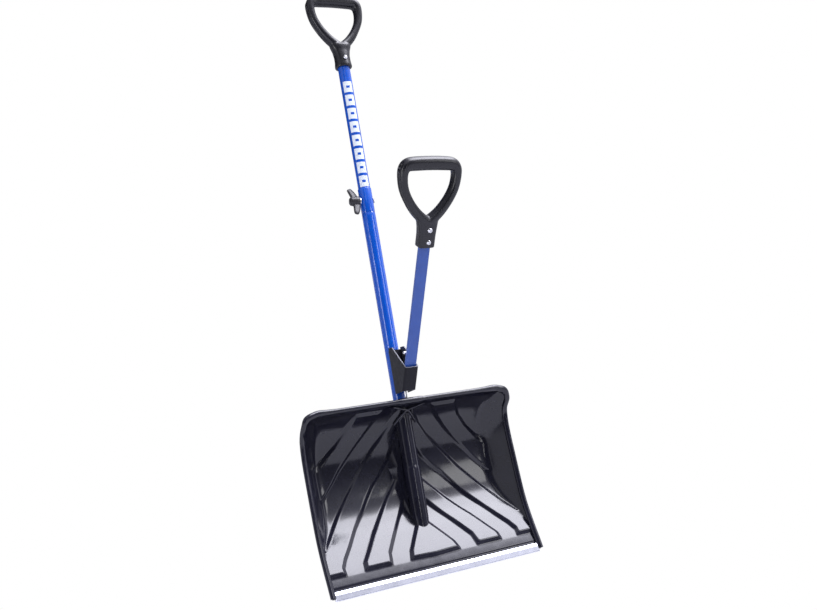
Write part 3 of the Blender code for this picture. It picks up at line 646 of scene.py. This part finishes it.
BLADE_PLASTIC = black_plastic("gloss_black_plastic", (0.0095, 0.0095, 0.017), 0.09)
GRIP_PLASTIC = black_plastic(
    "grip_black_plastic", (0.0075, 0.0075, 0.0115), 0.26, 0.0001, 0.000008, 0.45)
KNOB_PLASTIC = black_plastic(
    "textured_black_plastic", (0.016, 0.0155, 0.019), 0.34, 0.0001, 0.00005)
UPPER_TUBE_PAINT = tube_paint("marked_blue_powder_coat", True)
LOWER_TUBE_PAINT = tube_paint("blue_powder_coat", False)
ARM_PAINT = blue_paint(
    "satin_blue_powder_coat", (0.032, 0.105, 0.46), (0.022, 0.08, 0.38), 0.34)[0]
BLACK_STEEL = black_steel("black_coated_steel", (0.0085, 0.0085, 0.0135), 0.1)
# Painted light: a lighter copy of the black coat, so the side plates' inner faces look lit where
# little light reaches
PAINTED_LIGHT_STEEL = black_steel("inner_coated_steel", (0.045, 0.045, 0.055), 0.1)
# Painted highlight: a pale grey coat on the bracket's cut edges that stands in for the light line
# along them
PAINTED_HIGHLIGHT_EDGE_STEEL = black_steel("rubbed_cut_edge", (0.2, 0.2, 0.23), 0.8)
ALUMINIUM = metal("brushed_aluminium", (0.78, 0.8, 0.9), 0.1, (0.5, 30.0, 30.0))
ZINC = metal("zinc_plated_steel", (0.78, 0.79, 0.82), 0.18, (12.0, 12.0, 12.0))
WIRE_STEEL = metal("drawn_spring_wire", (0.75, 0.76, 0.8), 0.16, (20.0, 20.0, 3.0))
BRASS = metal("brass", (0.72, 0.5, 0.22), 0.24, (10.0, 10.0, 10.0))
RUBBER = black_plastic("black_rubber", (0.02, 0.02, 0.02), 0.6, 0.0001, 0.00004)


def placed(obj, *materials):
    """The piece's mesh in the shared frame, with its materials."""
    obj.data.transform(obj.matrix_world)
    obj.matrix_world = Matrix.Identity(4)
    slots = [face.material_index for face in obj.data.polygons]
    obj.data.materials.clear()
    for material in materials:
        obj.data.materials.append(material)
    if len(materials) > 1:
        obj.data.polygons.foreach_set("material_index", slots)


def finish_piece(obj, materials, body, *nodes):
    """Gives a piece one material or a tuple of them, its body, and the CAD nodes it replaces."""
    placed(obj, *(materials if isinstance(materials, tuple) else (materials,)))
    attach(obj, body)
    if nodes:
        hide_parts(*nodes)


def dress_node(name, material, bevel):
    """A CAD node keeps its shape and gets a material, and rounded edges where it has room."""
    node = frame["nodes"][name]
    node.data.materials.clear()
    node.data.materials.append(material)
    bevelled(node, bevel)


# ---- scoop

def floor_rows():
    """Even stations along the floor, with the floor's facing at each."""
    rows, along = spaced(smooth_rows(STATIONS, 24), ROW_STEP)
    heading = unit(np.gradient(rows[:, :2], axis=0))
    facing = np.column_stack([-heading[:, 1], heading[:, 0]])
    return rows, along, facing


def band_height(x, along):
    """How far the floor is raised at a distance from the middle and along it from the lip."""
    points = np.column_stack([x.ravel(), along.ravel()])
    both = np.column_stack([np.abs(points[:, 0]), points[:, 1]])
    inside = np.full(len(points), -1e9)
    for band in BANDS:
        inside = np.maximum(inside, flat_distance(both, band))
    return (BAND_HEIGHT * smoothstep(inside / BAND_SLOPE + 0.5)).reshape(x.shape)


def scoop_blade():
    """The shell. Each row runs up one wall, round the corner, across the floor and back up."""
    rows, along, facing = floor_rows()
    half = int(FLAT_HALF_WIDTH / COLUMN_STEP)
    share = np.linspace(0.0, 1.0, half)
    bend = np.linspace(0.0, 1.0, 9)[1:]
    wall = np.linspace(0.0, 1.0, 14)[1:]
    points = []
    for row, where, face in zip(rows, along, facing):
        corner, edge = np.array([row[2], row[0], row[1]]), row[3:]
        height = np.linalg.norm(edge - corner)
        radius = min(CORNER_R, CORNER_SHARE * height)
        up = (edge - corner) / max(height, 1e-6)
        start, end = corner - [radius, 0, 0], corner + up * radius
        flat = np.column_stack([share * start[0], np.full((half, 2), corner[1:])])
        lift = band_height(flat[:, 0], np.full(half, where))
        if where > STRIP_SEAT_FROM:
            lift = lift - STRIP_SEAT_DEPTH * smoothstep((where - STRIP_SEAT_FROM) / 2.0)
        if where > APRON_FROM:
            lift = lift - APRON_TILT * (where - APRON_FROM)
        flat[:, 1:] += lift[:, None] * face
        t = bend[:, None]
        curve = (1 - t) ** 2 * start + 2 * t * (1 - t) * corner + t ** 2 * end
        fade = band_height(curve[:, 0], np.full(len(bend), where)) * (1 - bend ** 2)
        curve[:, 1:] += fade[:, None] * face
        side = end + wall[:, None] * (edge - end)
        right = np.vstack([flat, curve, side])
        left = right[:0:-1] * [-1, 1, 1]
        points.append(np.vstack([left, right]))
    points = np.array(points) * MM
    points[..., 1] *= -1
    blade = new_object("scoop_blade", grid_mesh("scoop_blade", points))
    thick = blade.modifiers.new("thickness", "SOLIDIFY")
    thick.thickness = SHELL * MM
    thick.offset = -1.0
    settle(blade)
    blade.data.shade_smooth()
    return blade


def rim_path():
    """Up the walls' edges, round the hood's corners and along its lip."""
    right = smooth_rows([row[3:] for row in STATIONS], 10)
    corner = [(198.0, LIP_FRONT, 304.5), (190.0, 46.2, 305.4), (176.0, LIP_FRONT, LIP_HEIGHT)]
    lip = [(x, LIP_FRONT, LIP_HEIGHT) for x in np.linspace(172.0, 2.0, 60)]
    half = np.vstack([right[:0:-1], smooth_rows(corner, 4), lip])
    path = np.vstack([half, half[::-1] * [-1, 1, 1]])
    path[:, 1] *= -1
    return path


def scoop_rim():
    """The rolled rim. It is fuller at the hood's corners and over the spring's leg."""
    path = rim_path()
    across = np.abs(path[:, 0])
    hood = smoothstep((path[:, 2] - RIM_HOOD_FROM) / 12.0)
    saddle = smoothstep((30.0 - across) / 10.0) * hood
    radius = RIM_R + 1.3 * hood * smoothstep((across - 150.0) / 40.0) + 1.2 * saddle
    path[:, 2] -= 0.6 * hood
    path, radius = path * MM, radius * MM
    heading = unit(np.gradient(path, axis=0))
    inward = np.column_stack([-path[:, 0], np.full(len(path), 0.12), 0.14 - path[:, 2]])
    side = unit(np.cross(heading, inward))
    up = np.cross(side, heading)
    turn = np.linspace(0.0, math.tau, 28, endpoint=False)
    crease = 1.0 - 0.1 * np.exp(-((turn - 2.2) / 0.16) ** 2)
    across_wall = crease * np.cos(turn)
    along_wall = crease * np.sin(turn) * np.where(np.sin(turn) > 0, RIM_DEEP, 1.0)
    points = (path[:, None] + side[:, None] * (radius[:, None] * across_wall)[..., None]
              + up[:, None] * (radius[:, None] * along_wall)[..., None])
    return new_object("scoop_rim", solid_mesh("scoop_rim", points))


def floor_at(height):
    """The floor's distance in front of the axis at a height up the shaft."""
    rows = smooth_rows(STATIONS, 24)
    return np.interp(height, rows[::-1, 1], rows[::-1, 0])


def scoop_socket():
    """The round socket with its ring and rounded nose, the buttress behind it, and two ribs that
    cross at its top."""
    profile = [(0.3, 47.0), (6.0, 47.6), (11.0, 50.0), (14.2, 54.5), (15.8, 61.0), (16.9, 80.0),
               (17.2, 172.0), (17.2, 176.0), (16.2, 178.5), (16.0, 300.0), (0.3, 300.0)]
    rod = turned_mesh("rod", profile, 72)
    heights = np.linspace(60.0, 284.0, 96)
    spread = np.interp(heights, [row[0] for row in BUTTRESS], [row[1] for row in BUTTRESS])
    kernel = np.hanning(9)
    padded = np.pad(spread, 4, mode="edge")
    spread = np.convolve(padded, kernel / kernel.sum(), mode="valid")
    rows = []
    for height, foot in zip(heights, spread):
        back = -floor_at(height) + 1.6
        share = np.linspace(0.0, 1.0, 12)
        neck = min(13.0, 0.9 * foot + 5.0)
        half = neck + (foot - neck) * share ** 2.4
        deep = 3.0 + (max(back, 3.5) - 3.0) * share
        right = np.column_stack([half, deep, np.full(12, height)])
        left = right[::-1] * [-1, 1, 1]
        rows.append(np.vstack([right, left]))
    web = solid_mesh("web", np.array(rows) * MM)
    ribs = []
    for turn in (-1, 1):
        ends = [(turn * 34.0, -34.0, 296.0), (turn * 15.0, -26.0, 291.0), (0.0, -23.5, 287.0),
                (-turn * 13.0, -14.0, 276.0), (-turn * 24.0, -2.0, 262.0)]
        path = smooth_rows(ends, 8) * MM
        ribs.append(sweep_mesh("rib", path, 2.6 * MM, 2.6 * MM, 16, (0.0, -0.5, -0.8)))
    socket = joined("scoop_socket", [rod, web] + ribs)
    return fused(socket, 1.15 * MM, 7)


def scoop_collar():
    """The collar on the hood's back, with a chamfered mouth, cut off where the shell begins."""
    profile = [(14.6, 303.0), (15.2, 303.4), (18.6, 303.4), (19.5, 302.4), (19.5, 240.0),
               (14.6, 240.0)]
    ring = turned_mesh("collar", profile, 72)
    collar = new_object("scoop_collar", ring)
    rows = smooth_rows(STATIONS, 6)
    outline = [(1.4 - row[0], row[1] + 1.0) for row in rows if row[1] > 205.0]
    outline += [(40.0, 200.0), (-70.0, 200.0), (-70.0, 302.0)]
    cut_out(collar, prism_mesh("inside", np.array(outline) * MM, 45.0 * MM))
    smooth_to(collar, 40.0)
    return collar


def back_boss():
    """The two screw bosses behind the floor, where the socket screws sit."""
    profile = [(4.6, 0.0), (8.0, 0.0), (7.4, 3.0), (6.9, 3.3), (4.6, 3.3)]
    bosses = []
    for height in BOSS_HEIGHTS:
        boss = turned_mesh("boss", profile, 48, "-Y")
        boss.transform(Matrix.Translation((0.0, (5.6 - floor_at(height)) * MM, height * MM)))
        bosses.append(boss)
    return joined("scoop_back_bosses", bosses)


def wear_strip():
    """The edge strip: a flat, a shallow fold towards the ground, and a rolled lip."""
    down = np.array([-math.sin(STRIP_ANGLE), -math.cos(STRIP_ANGLE)])
    up = np.array([-math.cos(STRIP_ANGLE), math.sin(STRIP_ANGLE)])
    outline = [(np.array(STRIP_START) + down * along + up * across) * MM
               for along, across in STRIP_OUTLINE]
    strip = new_object("wear_strip_sheet", prism_mesh("strip", outline, STRIP_HALF_WIDTH))
    bevelled(strip, 0.3 * MM, 8.0)
    return settle(strip)


# ---- shaft

def tube(name, profile, material, node):
    made = new_object(name, turned_mesh(name, profile))
    smooth_to(made, 40.0)
    finish_piece(made, material, "shovel", node)


def shaft_tubes():
    """The lower tube, with its crimp and swaged mouth, the upper tube, and the crimp's dot."""
    lower = [(14.0, 103.0), (14.0, 400.0), (14.0, 690.0), (13.9, 695.6), (13.55, 696.6),
             (13.55, 697.4), (13.95, 698.4), (14.0, 702.0), (14.0, 748.6), (13.7, 749.6),
             (13.3, 750.0), (13.0, 749.6), (12.9, 748.0), (12.9, 103.0)]
    tube("shaft_lower_tube", lower, LOWER_TUBE_PAINT, "lower_tube")
    upper = [(12.7, 641.0), (12.7, 800.0), (12.7, 1062.0), (11.6, 1062.0), (11.6, 641.0)]
    tube("shaft_upper_tube", upper, UPPER_TUBE_PAINT, "upper_tube")
    profile = [(0.1, 0.0), (1.5, 0.0), (1.3, 0.5), (0.1, 0.8)]
    dot = turned_mesh("dot", profile, 20, "-Y")
    turn = Matrix.Rotation(math.radians(12.0), 4, "Z")
    dot.transform(turn @ Matrix.Translation((0.0, -CRIMP_DOT_FRONT, CRIMP_DOT_Z)))
    finish_piece(new_object("tube_crimp_dot", dot), ZINC, "shovel")


# ---- grips

def grip_loop(rake):
    """The D of a grip, whose arms lean back by rake for each millimetre up."""
    half = np.array(GRIP_LOOP)
    whole = np.vstack([half, half[-2:0:-1] * [-1, 1, 1, 1]])
    wrapped = np.vstack([whole[-1:], whole, whole[:2]])
    rows = smooth_rows(wrapped, 10)[10:-10][:-1]
    back = rake * np.maximum(rows[:, 1] - RAKE_FROM, 0.0)
    path = np.column_stack([rows[:, 0], back, rows[:, 1]]) * MM
    crown = GRIP_CROWN * smoothstep((40.0 - np.abs(rows[:, 0])) / 40.0) * (rows[:, 1] > 140.0)
    path[:, 2] += crown * MM
    widths, depths = rows[:, 2] * MM, rows[:, 3] * MM
    return sweep_mesh("loop", path, widths, depths, 40, (0.0, 1.0, 0.0), 2.35, cyclic=True)


def loft_mesh(name, rows):
    """A solid through oblongs: y of the middle, height, half width, half depth and power."""
    points = []
    for y, z, width, depth, power in rows:
        across, over = oblong(NECK_SIDES, power)
        points.append(np.column_stack([width * across, y + depth * over, np.full(NECK_SIDES, z)]))
    return solid_mesh(name, np.array(points) * MM)


def carve_arms(grip, matrix, rake):
    """A shallow channel down the outer side of each arm, and a dimple at each upper corner."""
    for side in (-1, 1):
        ends = [(side * 63.2, rake * 92, 137.0), (side * 64.0, rake * 80, 124.0),
                (side * 59.5, rake * 60, 104.0), (side * 49.5, rake * 40, 84.0),
                (side * 37.0, rake * 22, 66.0)]
        path = smooth_rows(ends, 8) * MM
        last = len(path) - 1
        width = np.interp(np.arange(len(path)), [0, 6, last - 6, last], [1.0, 4.6, 4.6, 1.0]) * MM
        channel = sweep_mesh("channel", path, width, width * 1.45, 20, (0.0, 1.0, 0.0), 2.2)
        cut_out(grip, channel, matrix)
        profile = [(0.02, 0.0), (4.6, 0.3), (6.2, 1.8), (6.8, 5.0), (7.0, 14.0), (0.02, 14.0)]
        dimple = turned_mesh("dimple", profile, 40)
        place = Matrix.Translation((side * 55.0 * MM, rake * 104 * MM, 147.5 * MM))
        dimple.transform(place @ Matrix.Rotation(side * math.radians(62.0), 4, "Y"))
        cut_out(grip, dimple, matrix)


def moulded_grip(name, place, rake, neck, hollow):
    """A D-grip: its loop and neck made one, its arms carved, and the shaft's hollow cut out."""
    grip = joined(name, [grip_loop(rake), loft_mesh("neck", neck)], place)
    fused(grip, 1.1 * MM, 9)
    carve_arms(grip, place, rake)
    cut_out(grip, hollow, place)
    return fused(grip, 0.85 * MM, 12)


def upper_grip():
    neck = [(0, 0.0, 17.4, 17.4, 2), (0, 2.0, 18.4, 18.4, 2), (0, 7.0, 17.9, 17.9, 2),
            (0, 14.0, 17.0, 17.0, 2), (0, 26.0, 16.8, 16.4, 2.1), (0, 38.0, 19.0, 15.0, 2.3),
            (0, 46.0, 22.0, 15.2, 2.5), (0, 51.0, 23.0, 14.8, 2.5), (0, 54.5, 19.0, 12.0, 2.5)]
    bore = [(0.01, -3.0), (13.1, -3.0), (13.1, 46.0), (0.01, 46.0)]
    place = SHAFT @ Matrix.Translation((0.0, 0.0, UPPER_GRIP_Z))
    return moulded_grip("upper_d_grip", place, 0.0, neck, turned_mesh("bore", bore, 64))


def lower_grip():
    neck = [(-1.4, 0.0, 15.4, 10.8, 6), (-1.4, 1.0, 16.2, 11.4, 6), (-1.4, 14.0, 16.2, 11.4, 6),
            (-1.4, 26.0, 16.8, 11.4, 5), (-1.2, 38.0, 18.6, 11.0, 4), (-0.4, 46.0, 20.6, 11.4, 3),
            (0.0, 50.0, 21.6, 11.0, 2.6), (0.2, 52.0, 15.0, 8.0, 2.6)]
    slot = box_mesh("slot", (-11.8 * MM, -2.8 * MM, -3.0 * MM), (11.8 * MM, 2.8 * MM, 46.0 * MM))
    place = ARM @ Matrix.Translation((0.0, -LOWER_GRIP_FRONT, LOWER_GRIP_Z))
    return moulded_grip("lower_d_grip", place, LOWER_GRIP_RAKE, neck, slot)


def pan_screw(name, place, node):
    """A pan head with a cross recess, facing the front of its frame."""
    profile = [(0.02, 2.35), (1.6, 2.3), (3.0, 1.95), (4.0, 1.3), (4.65, 0.55), (PAN_HEAD_R, 0.0),
               (2.1, 0.0), (2.1, -14.0), (0.02, -14.0)]
    head = new_object(name, turned_mesh(name, profile, 48, "-Y"), place)
    low, high = np.array([(-0.5, -4.0, -2.1), (0.5, -0.9, 2.1)]) * MM
    for turn in (20.0, 110.0):
        spin = Matrix.Rotation(math.radians(turn), 4, "Y")
        cut_out(head, box_mesh("blade", low, high), place @ spin)
    smooth_to(head, 35.0)
    finish_piece(head, ZINC, "assist_arm", node)


def cross_rivet():
    """The rivet through the upper grip, domed at both ends."""
    half = [(0.02, 21.0), (1.8, 20.7), (3.6, 19.6), (4.6, 17.8), (4.6, 17.2), (2.2, 17.2)]
    profile = half + [(radius, -height) for radius, height in half[::-1]]
    place = SHAFT @ Matrix.Translation((0.0, 0.0, UPPER_RIVET_Z))
    name = "upper_grip_cross_rivet"
    made = new_object(name, turned_mesh(name, profile, 48, "-Y"), place)
    finish_piece(made, ZINC, "shovel", "upper_grip_rivet")


# ---- bracket and spring

def arm_to_shaft(front, up):
    """A point of the arm's frame, in mm, as y and z in the shaft's frame."""
    y = -PIN_FRONT - (front * math.cos(ARM_LEAN) + up * math.sin(ARM_LEAN)) * MM
    z = PIN_Z + (-front * math.sin(ARM_LEAN) + up * math.cos(ARM_LEAN)) * MM
    return y, z


def bracket_outline(face, spread):
    """The bracket from the side, with its web at face. Spread moves the other sides out, in mm."""
    back = (spread - 15.5) * MM
    return [(back, (321.5 - spread) * MM), arm_to_shaft(face, -8.1 - spread),
            arm_to_shaft(face, 42.3 + spread), (-31.6 * MM, (412.5 + spread) * MM),
            (back, (413.5 + spread) * MM)]


def from_segment(point, start, end):
    """How far a point is from the line between two others."""
    start, way = np.array(start), np.array(end) - np.array(start)
    share = min(max((point - start) @ way / (way @ way), 0.0), 1.0)
    return np.linalg.norm(point - start - share * way)


def bracket():
    """The bent sheet: an open channel with rounded folds, a pale grey painted highlight along its
    cut edges, and painted light on the side plates' inner faces.
    """
    rim, web = bracket_outline(WEB_FRONT, 0.0), (1, 2)
    sheet = prism_mesh("sheet", rim, BRACKET_HALF_WIDTH, FOLD_R, web)
    sheet = new_object("bracket_channel", sheet)
    inside = bracket_outline(WEB_BACK, 40.0)
    cut_out(sheet, prism_mesh("inside", inside, BRACKET_INSIDE, INSIDE_FOLD_R, web))
    hole = [(0.02, -40.0), (4.3, -40.0), (4.3, 40.0), (0.02, 40.0)]
    cut_out(sheet, turned_mesh("hole", hole, 32, "X"), PIN)
    cut_sides = [(rim[a], rim[b]) for a, b in ((0, 1), (2, 3), (3, 4), (4, 0))]
    for face in sheet.data.polygons:
        middle = np.array(face.center[1:])
        # The cut edges get the pale painted highlight
        if any(from_segment(middle, *side) < 0.3 * MM for side in cut_sides):
            face.material_index = PAINTED_HIGHLIGHT_SLOT
        # The side plates' inner faces get the painted light
        elif abs(face.center.x) < 12.6 * MM and abs(face.normal.x) > 0.9:
            face.material_index = PAINTED_LIGHT_SLOT
    bevelled(sheet, 0.5 * MM, 40.0)
    finish_piece(settle(sheet), (BLACK_STEEL, PAINTED_HIGHLIGHT_EDGE_STEEL, PAINTED_LIGHT_STEEL), "shovel", "bracket")


def coil_point(angle):
    share = (angle - COIL_START) / (COIL_END - COIL_START)
    x = (share - 0.5) * COIL_PITCH * (COIL_END - COIL_START) / math.tau
    return np.array([x, -PIN_FRONT - COIL_R * math.cos(angle), PIN_Z + COIL_R * math.sin(angle)])


def coil_heading(angle):
    return np.array([0.0, math.sin(angle), math.cos(angle)])


def wire_mesh(name, points, rounded):
    """Round wire along points. Rounded says which of its ends are softened."""
    points = np.array(points)
    heading = unit(np.gradient(points, axis=0))
    side = np.cross(heading[0], (1.0, 0.2, 0.1))
    turn = np.linspace(0.0, math.tau, 24, endpoint=False)
    rings = []
    for point, ahead in zip(points, heading):
        side = side - (side @ ahead) * ahead
        side /= np.linalg.norm(side)
        up = np.cross(ahead, side)
        rings.append(point + WIRE_R * (np.outer(np.cos(turn), side) + np.outer(np.sin(turn), up)))
    for end, ring, way in ((0, rings[0], -1), (-1, rings[-1], 1)):
        if rounded[end]:
            middle = points[end]
            tip = [middle + (ring - middle) * size + heading[end] * way * lift * WIRE_R
                   for size, lift in ((0.9, 0.22), (0.62, 0.36))]
            rings = [tip[1], tip[0]] + rings if way < 0 else rings + tip
    return solid_mesh(name, np.array(rings))


def straight(start, end, steps):
    return [start + (end - start) * share for share in np.linspace(0.0, 1.0, steps)]


def torsion_spring():
    """The coil, which winds between the two bodies, a leg on the shovel and one on the arm."""
    first, last = coil_point(COIL_START), coil_point(COIL_END)
    tail = first - coil_heading(COIL_START) * LOWER_LEG
    up = coil_heading(COIL_END)
    left = np.array([-1.0, 0.0, 0.0])
    knee = last + up * UPPER_LEG
    bend = [knee + HOOK_BEND * (up * math.sin(turn) + left * (1 - math.cos(turn)))
            for turn in np.linspace(0.0, math.pi / 2, 10)[1:]]
    tip = np.array([HOOK_TIP_X, *bend[-1][1:]])
    upper = straight(last, knee, 20) + bend + straight(bend[-1], tip, 5)[1:]
    leg = wire_mesh("lower", straight(tail, first, 14), (True, False))
    finish_piece(new_object("spring_lower_leg", leg), WIRE_STEEL, "shovel")
    leg = wire_mesh("upper", upper, (False, True))
    finish_piece(new_object("spring_upper_leg", leg), WIRE_STEEL, "assist_arm")
    turns = [coil_point(angle) for angle in np.linspace(COIL_START, COIL_END, 140)]
    middle = new_object("spring_coil", wire_mesh("coil", turns, (False, False)))
    placed(middle, WIRE_STEEL)
    start, end = SHAFT @ Vector(first), SHAFT @ Vector(last)
    start.yz = end.yz
    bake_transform(middle)
    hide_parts("torsion_spring")


# ---- knob

def wing_knob():
    """A hub with two wings that lean out, and a hexagonal pocket for the insert."""
    profile = [(0.3, 16.4), (8.8, 16.4), (10.2, 17.4), (10.3, 24.0), (9.0, 33.0), (8.0, 36.0),
               (0.3, 37.4)]
    parts = [turned_mesh("hub", profile, 64, "X")]
    for side in (-1, 1):
        ends = [(-24.0, side * 3.0, 7.8, 3.8), (-25.0, side * 12.0, 7.6, 3.5),
                (-27.0, side * 20.0, 6.9, 3.2), (-29.5, side * 27.0, 5.8, 2.9),
                (-31.0, side * 31.0, 4.2, 2.4)]
        rows = smooth_rows(ends, 6) * MM
        path = np.column_stack([rows[:, 0], np.zeros(len(rows)), rows[:, 1]])
        wing = sweep_mesh("wing", path, rows[:, 2], rows[:, 3], 24, (0.0, 1.0, 0.0), 2.6)
        wing.transform(Matrix.Rotation(WING_TURN, 4, "X"))
        parts.append(wing)
    knob = joined("wing_nut_knob", parts, CLAMP)
    fused(knob, 0.6 * MM, 5)
    pocket = [(0.02, 10.0), (5.5, 10.0), (5.5, 29.0), (0.02, 29.0)]
    cut_out(knob, turned_mesh("pocket", pocket, 6, "X"), CLAMP)
    knob.data.shade_smooth()
    finish_piece(knob, KNOB_PLASTIC, "knob", "wing_knob")


# ---- build

finish_piece(scoop_blade(), BLADE_PLASTIC, "shovel", "scoop")
for piece in (scoop_rim(), scoop_socket(), scoop_collar(), back_boss()):
    finish_piece(piece, BLADE_PLASTIC, "shovel")
finish_piece(wear_strip(), ALUMINIUM, "shovel", "wear_strip")

shaft_tubes()
finish_piece(upper_grip(), GRIP_PLASTIC, "shovel", "upper_grip")
finish_piece(lower_grip(), GRIP_PLASTIC, "assist_arm", "lower_grip")
cross_rivet()
for index, height in enumerate(GRIP_SCREW_Z, 1):
    place = ARM @ Matrix.Translation((GRIP_SCREW_X, -GRIP_SCREW_FRONT, height))
    pan_screw(f"grip_pan_screw_{index}", place, f"grip_screw_{index}")
bracket()
torsion_spring()
wing_knob()

dress_node("arm", ARM_PAINT, 0.9 * MM)
dress_node("bracket_saddle", BLACK_STEEL, 0.5 * MM)
dress_node("pivot_pin", BLACK_STEEL, 0.3 * MM)
dress_node("stop_pad", RUBBER, 0.5 * MM)
dress_node("spring_bush", GRIP_PLASTIC, 0.3 * MM)
dress_node("wing_knob_insert", BRASS, 0.25 * MM)
for name in ("clamp_bolt", "clamp_washer", "bracket_bolt_1", "bracket_bolt_2", "bracket_nut_1",
             "bracket_nut_2", "grip_nut_1", "grip_nut_2", "socket_screw_1", "socket_screw_2"):
    dress_node(name, ZINC, 0.3 * MM)
for index in range(1, 5):
    dress_node(f"strip_rivet_{index}", ALUMINIUM, 0.25 * MM)


# ---- studio

FLOOR_GAP = 0.0006
FLOOR_DEPTH = 0.02
FLOOR_REACH = 14.0
FLOOR_MIRRORED = (0.62, 0.62, 0.74)
FLOOR_BEHIND = (0.1, 0.1, 0.12)
FLOOR_LIGHT = (0.2, 0.2, 0.22)
WORLD_LIGHT = (0.78, 0.8, 0.88)
WHITE = (1.0, 1.0, 1.0)
LIGHT_REACH = 3.0
BLADE_MIDDLE = (0.0, -0.45, -1.05)
SHAFT_MIDDLE = (0.0, -0.25, -0.55)
# How bright the mirrored surroundings are, by how far back the direction points
BANK_PEAK = 16.0
BANK = ((-0.93, 0.12), (-0.86, 0.2), (-0.74, 0.5), (-0.6, 0.8), (-0.5, 1.3), (-0.4, 2.4),
        (-0.33, 5.0), (-0.26, 15.0), (0.05, 16.0), (0.3, 9.0), (0.55, 4.0), (0.8, 0.6))
LEFT_SIDE = 0.05
RIGHT_SIDE = 0.1


def seen_or(tree, seen, other):
    """One value for what the camera sees and another for what the surfaces are lit by."""
    path = tree.nodes.new("ShaderNodeLightPath")
    return mixed(tree, path.outputs["Is Camera Ray"], other, seen)


def studio_floor():
    """A pale floor, white to the camera. The gloss mirrors it bright in front and dim behind."""
    top = cad_low.z - FLOOR_GAP
    mesh = box_mesh("studio_floor", (-FLOOR_REACH, -FLOOR_REACH, top - FLOOR_DEPTH),
                    (FLOOR_REACH, FLOOR_REACH, top))
    floor = new_object("studio_floor", mesh, Matrix.Identity(4))
    made, tree, shader = new_material("studio_floor")
    tint = ranged(tree, noise(tree, coordinates(tree), 3.0), 0.3, 0.7)
    base = mixed(tree, tint, (0.33, 0.33, 0.34), (0.36, 0.36, 0.37))
    plug(tree, shader.inputs["Base Color"], seen_or(tree, (0.0, 0.0, 0.0), base))
    path = tree.nodes.new("ShaderNodeLightPath")
    source = tree.nodes.new("ShaderNodeTexCoord")
    split = tree.nodes.new("ShaderNodeSeparateXYZ")
    plug(tree, split.inputs[0], source.outputs["Object"])
    front = ranged(tree, split.outputs["Y"], -0.5, 0.1, 1.0, 0.0)
    mirrored = mixed(tree, front, FLOOR_BEHIND, FLOOR_MIRRORED)
    glow = mixed(tree, path.outputs["Is Diffuse Ray"], mirrored, FLOOR_LIGHT)
    plug(tree, shader.inputs["Emission Color"], seen_or(tree, WHITE, glow))
    shader.inputs["Emission Strength"].default_value = 1.0
    shader.inputs["Roughness"].default_value = 1.0
    shader.inputs["Specular IOR Level"].default_value = 0.0
    floor.data.materials.append(made)


def area_light(name, way, target, size, radiance, diffuse=False, skipped=()):
    """A soft box of a given size and brightness, LIGHT_REACH away from its target. The camera never
    sees it, and the pieces whose names start with a skipped word don't mirror it."""
    data = bpy.data.lights.new(name, "AREA")
    data.shape = "RECTANGLE"
    data.size, data.size_y = size
    data.energy = radiance * size[0] * size[1] * math.pi
    light = bpy.data.objects.new(name, data)
    way = Vector(way).normalized()
    light.location = Vector(target) + way * LIGHT_REACH
    light.rotation_euler = (-way).to_track_quat("-Z", "Y").to_euler()
    light.visible_camera = False
    light.visible_diffuse = diffuse
    bpy.context.scene.collection.objects.link(light)
    if skipped:
        lit = bpy.data.collections.new(name + "_lit")
        for obj in bpy.context.scene.objects:
            if obj.type == "MESH" and not obj.name.startswith(skipped):
                lit.objects.link(obj)
        light.light_linking.receiver_collection = lit


def studio_world():
    """White behind the shovel and soft light all round. The gloss mirrors a bright bank overhead
    that fades towards the front, the far back and both sides."""
    made = bpy.data.worlds.new("studio")
    made.use_nodes = True
    tree = made.node_tree
    split = tree.nodes.new("ShaderNodeSeparateXYZ")
    source = tree.nodes.new("ShaderNodeTexCoord")
    tree.links.new(source.outputs["Generated"], split.inputs[0])
    ramp = tree.nodes.new("ShaderNodeValToRGB")
    plug(tree, ramp.inputs["Fac"], ranged(tree, split.outputs["Y"], -1.0, 1.0))
    stops = ramp.color_ramp.elements
    for index, (back, bright) in enumerate(BANK):
        stop = stops[index] if index < 2 else stops.new(1.0)
        stop.position = (back + 1.0) / 2
        level = bright / BANK_PEAK
        stop.color = (level * 0.91, level * 0.91, level, 1.0)
    left = ranged(tree, split.outputs["X"], -0.05, 0.2, LEFT_SIDE, 1.0)
    right = ranged(tree, split.outputs["X"], 0.58, 0.78, 1.0, RIGHT_SIDE)
    gain = product(tree, left, right, BANK_PEAK)
    scale = tree.nodes.new("ShaderNodeVectorMath")
    scale.operation = "SCALE"
    plug(tree, scale.inputs[0], ramp.outputs["Color"])
    plug(tree, scale.inputs["Scale"], gain)
    path = tree.nodes.new("ShaderNodeLightPath")
    lit = mixed(tree, path.outputs["Is Diffuse Ray"], scale.outputs[0], WORLD_LIGHT)
    background = tree.nodes["Background"]
    plug(tree, background.inputs["Color"], seen_or(tree, WHITE, lit))
    background.inputs["Strength"].default_value = 1.0
    bpy.context.scene.world = made


studio_world()
studio_floor()
area_light("left_box", (-0.956, -0.31, 0.02), SHAFT_MIDDLE, (0.7, 2.4), 5.0, skipped=("scoop",))
area_light("right_front_box", (0.55, -0.6, 0.58), BLADE_MIDDLE, (0.8, 1.1), 4.0,
           skipped=("wear_strip", "strip_rivet"))
area_light("front_strip", (-0.02, -0.97, 0.27), BLADE_MIDDLE, (0.1, 1.4), 9.0)
area_light("key_box", (-0.25, -0.5, 0.8), SHAFT_MIDDLE, (1.2, 1.2), 0.8, diffuse=True)

camera_data = bpy.data.cameras.new("camera")
camera_data.lens = 40.12
camera_data.sensor_width = 36.0
camera = bpy.data.objects.new("camera", camera_data)
camera.location = (-0.7865, -1.8786, -0.2724)
camera.rotation_euler = (math.radians(79.21), 0.0, math.radians(-27.29))
bpy.context.scene.collection.objects.link(camera)
bpy.context.scene.camera = camera
bpy.context.scene.view_settings.view_transform = "Standard"
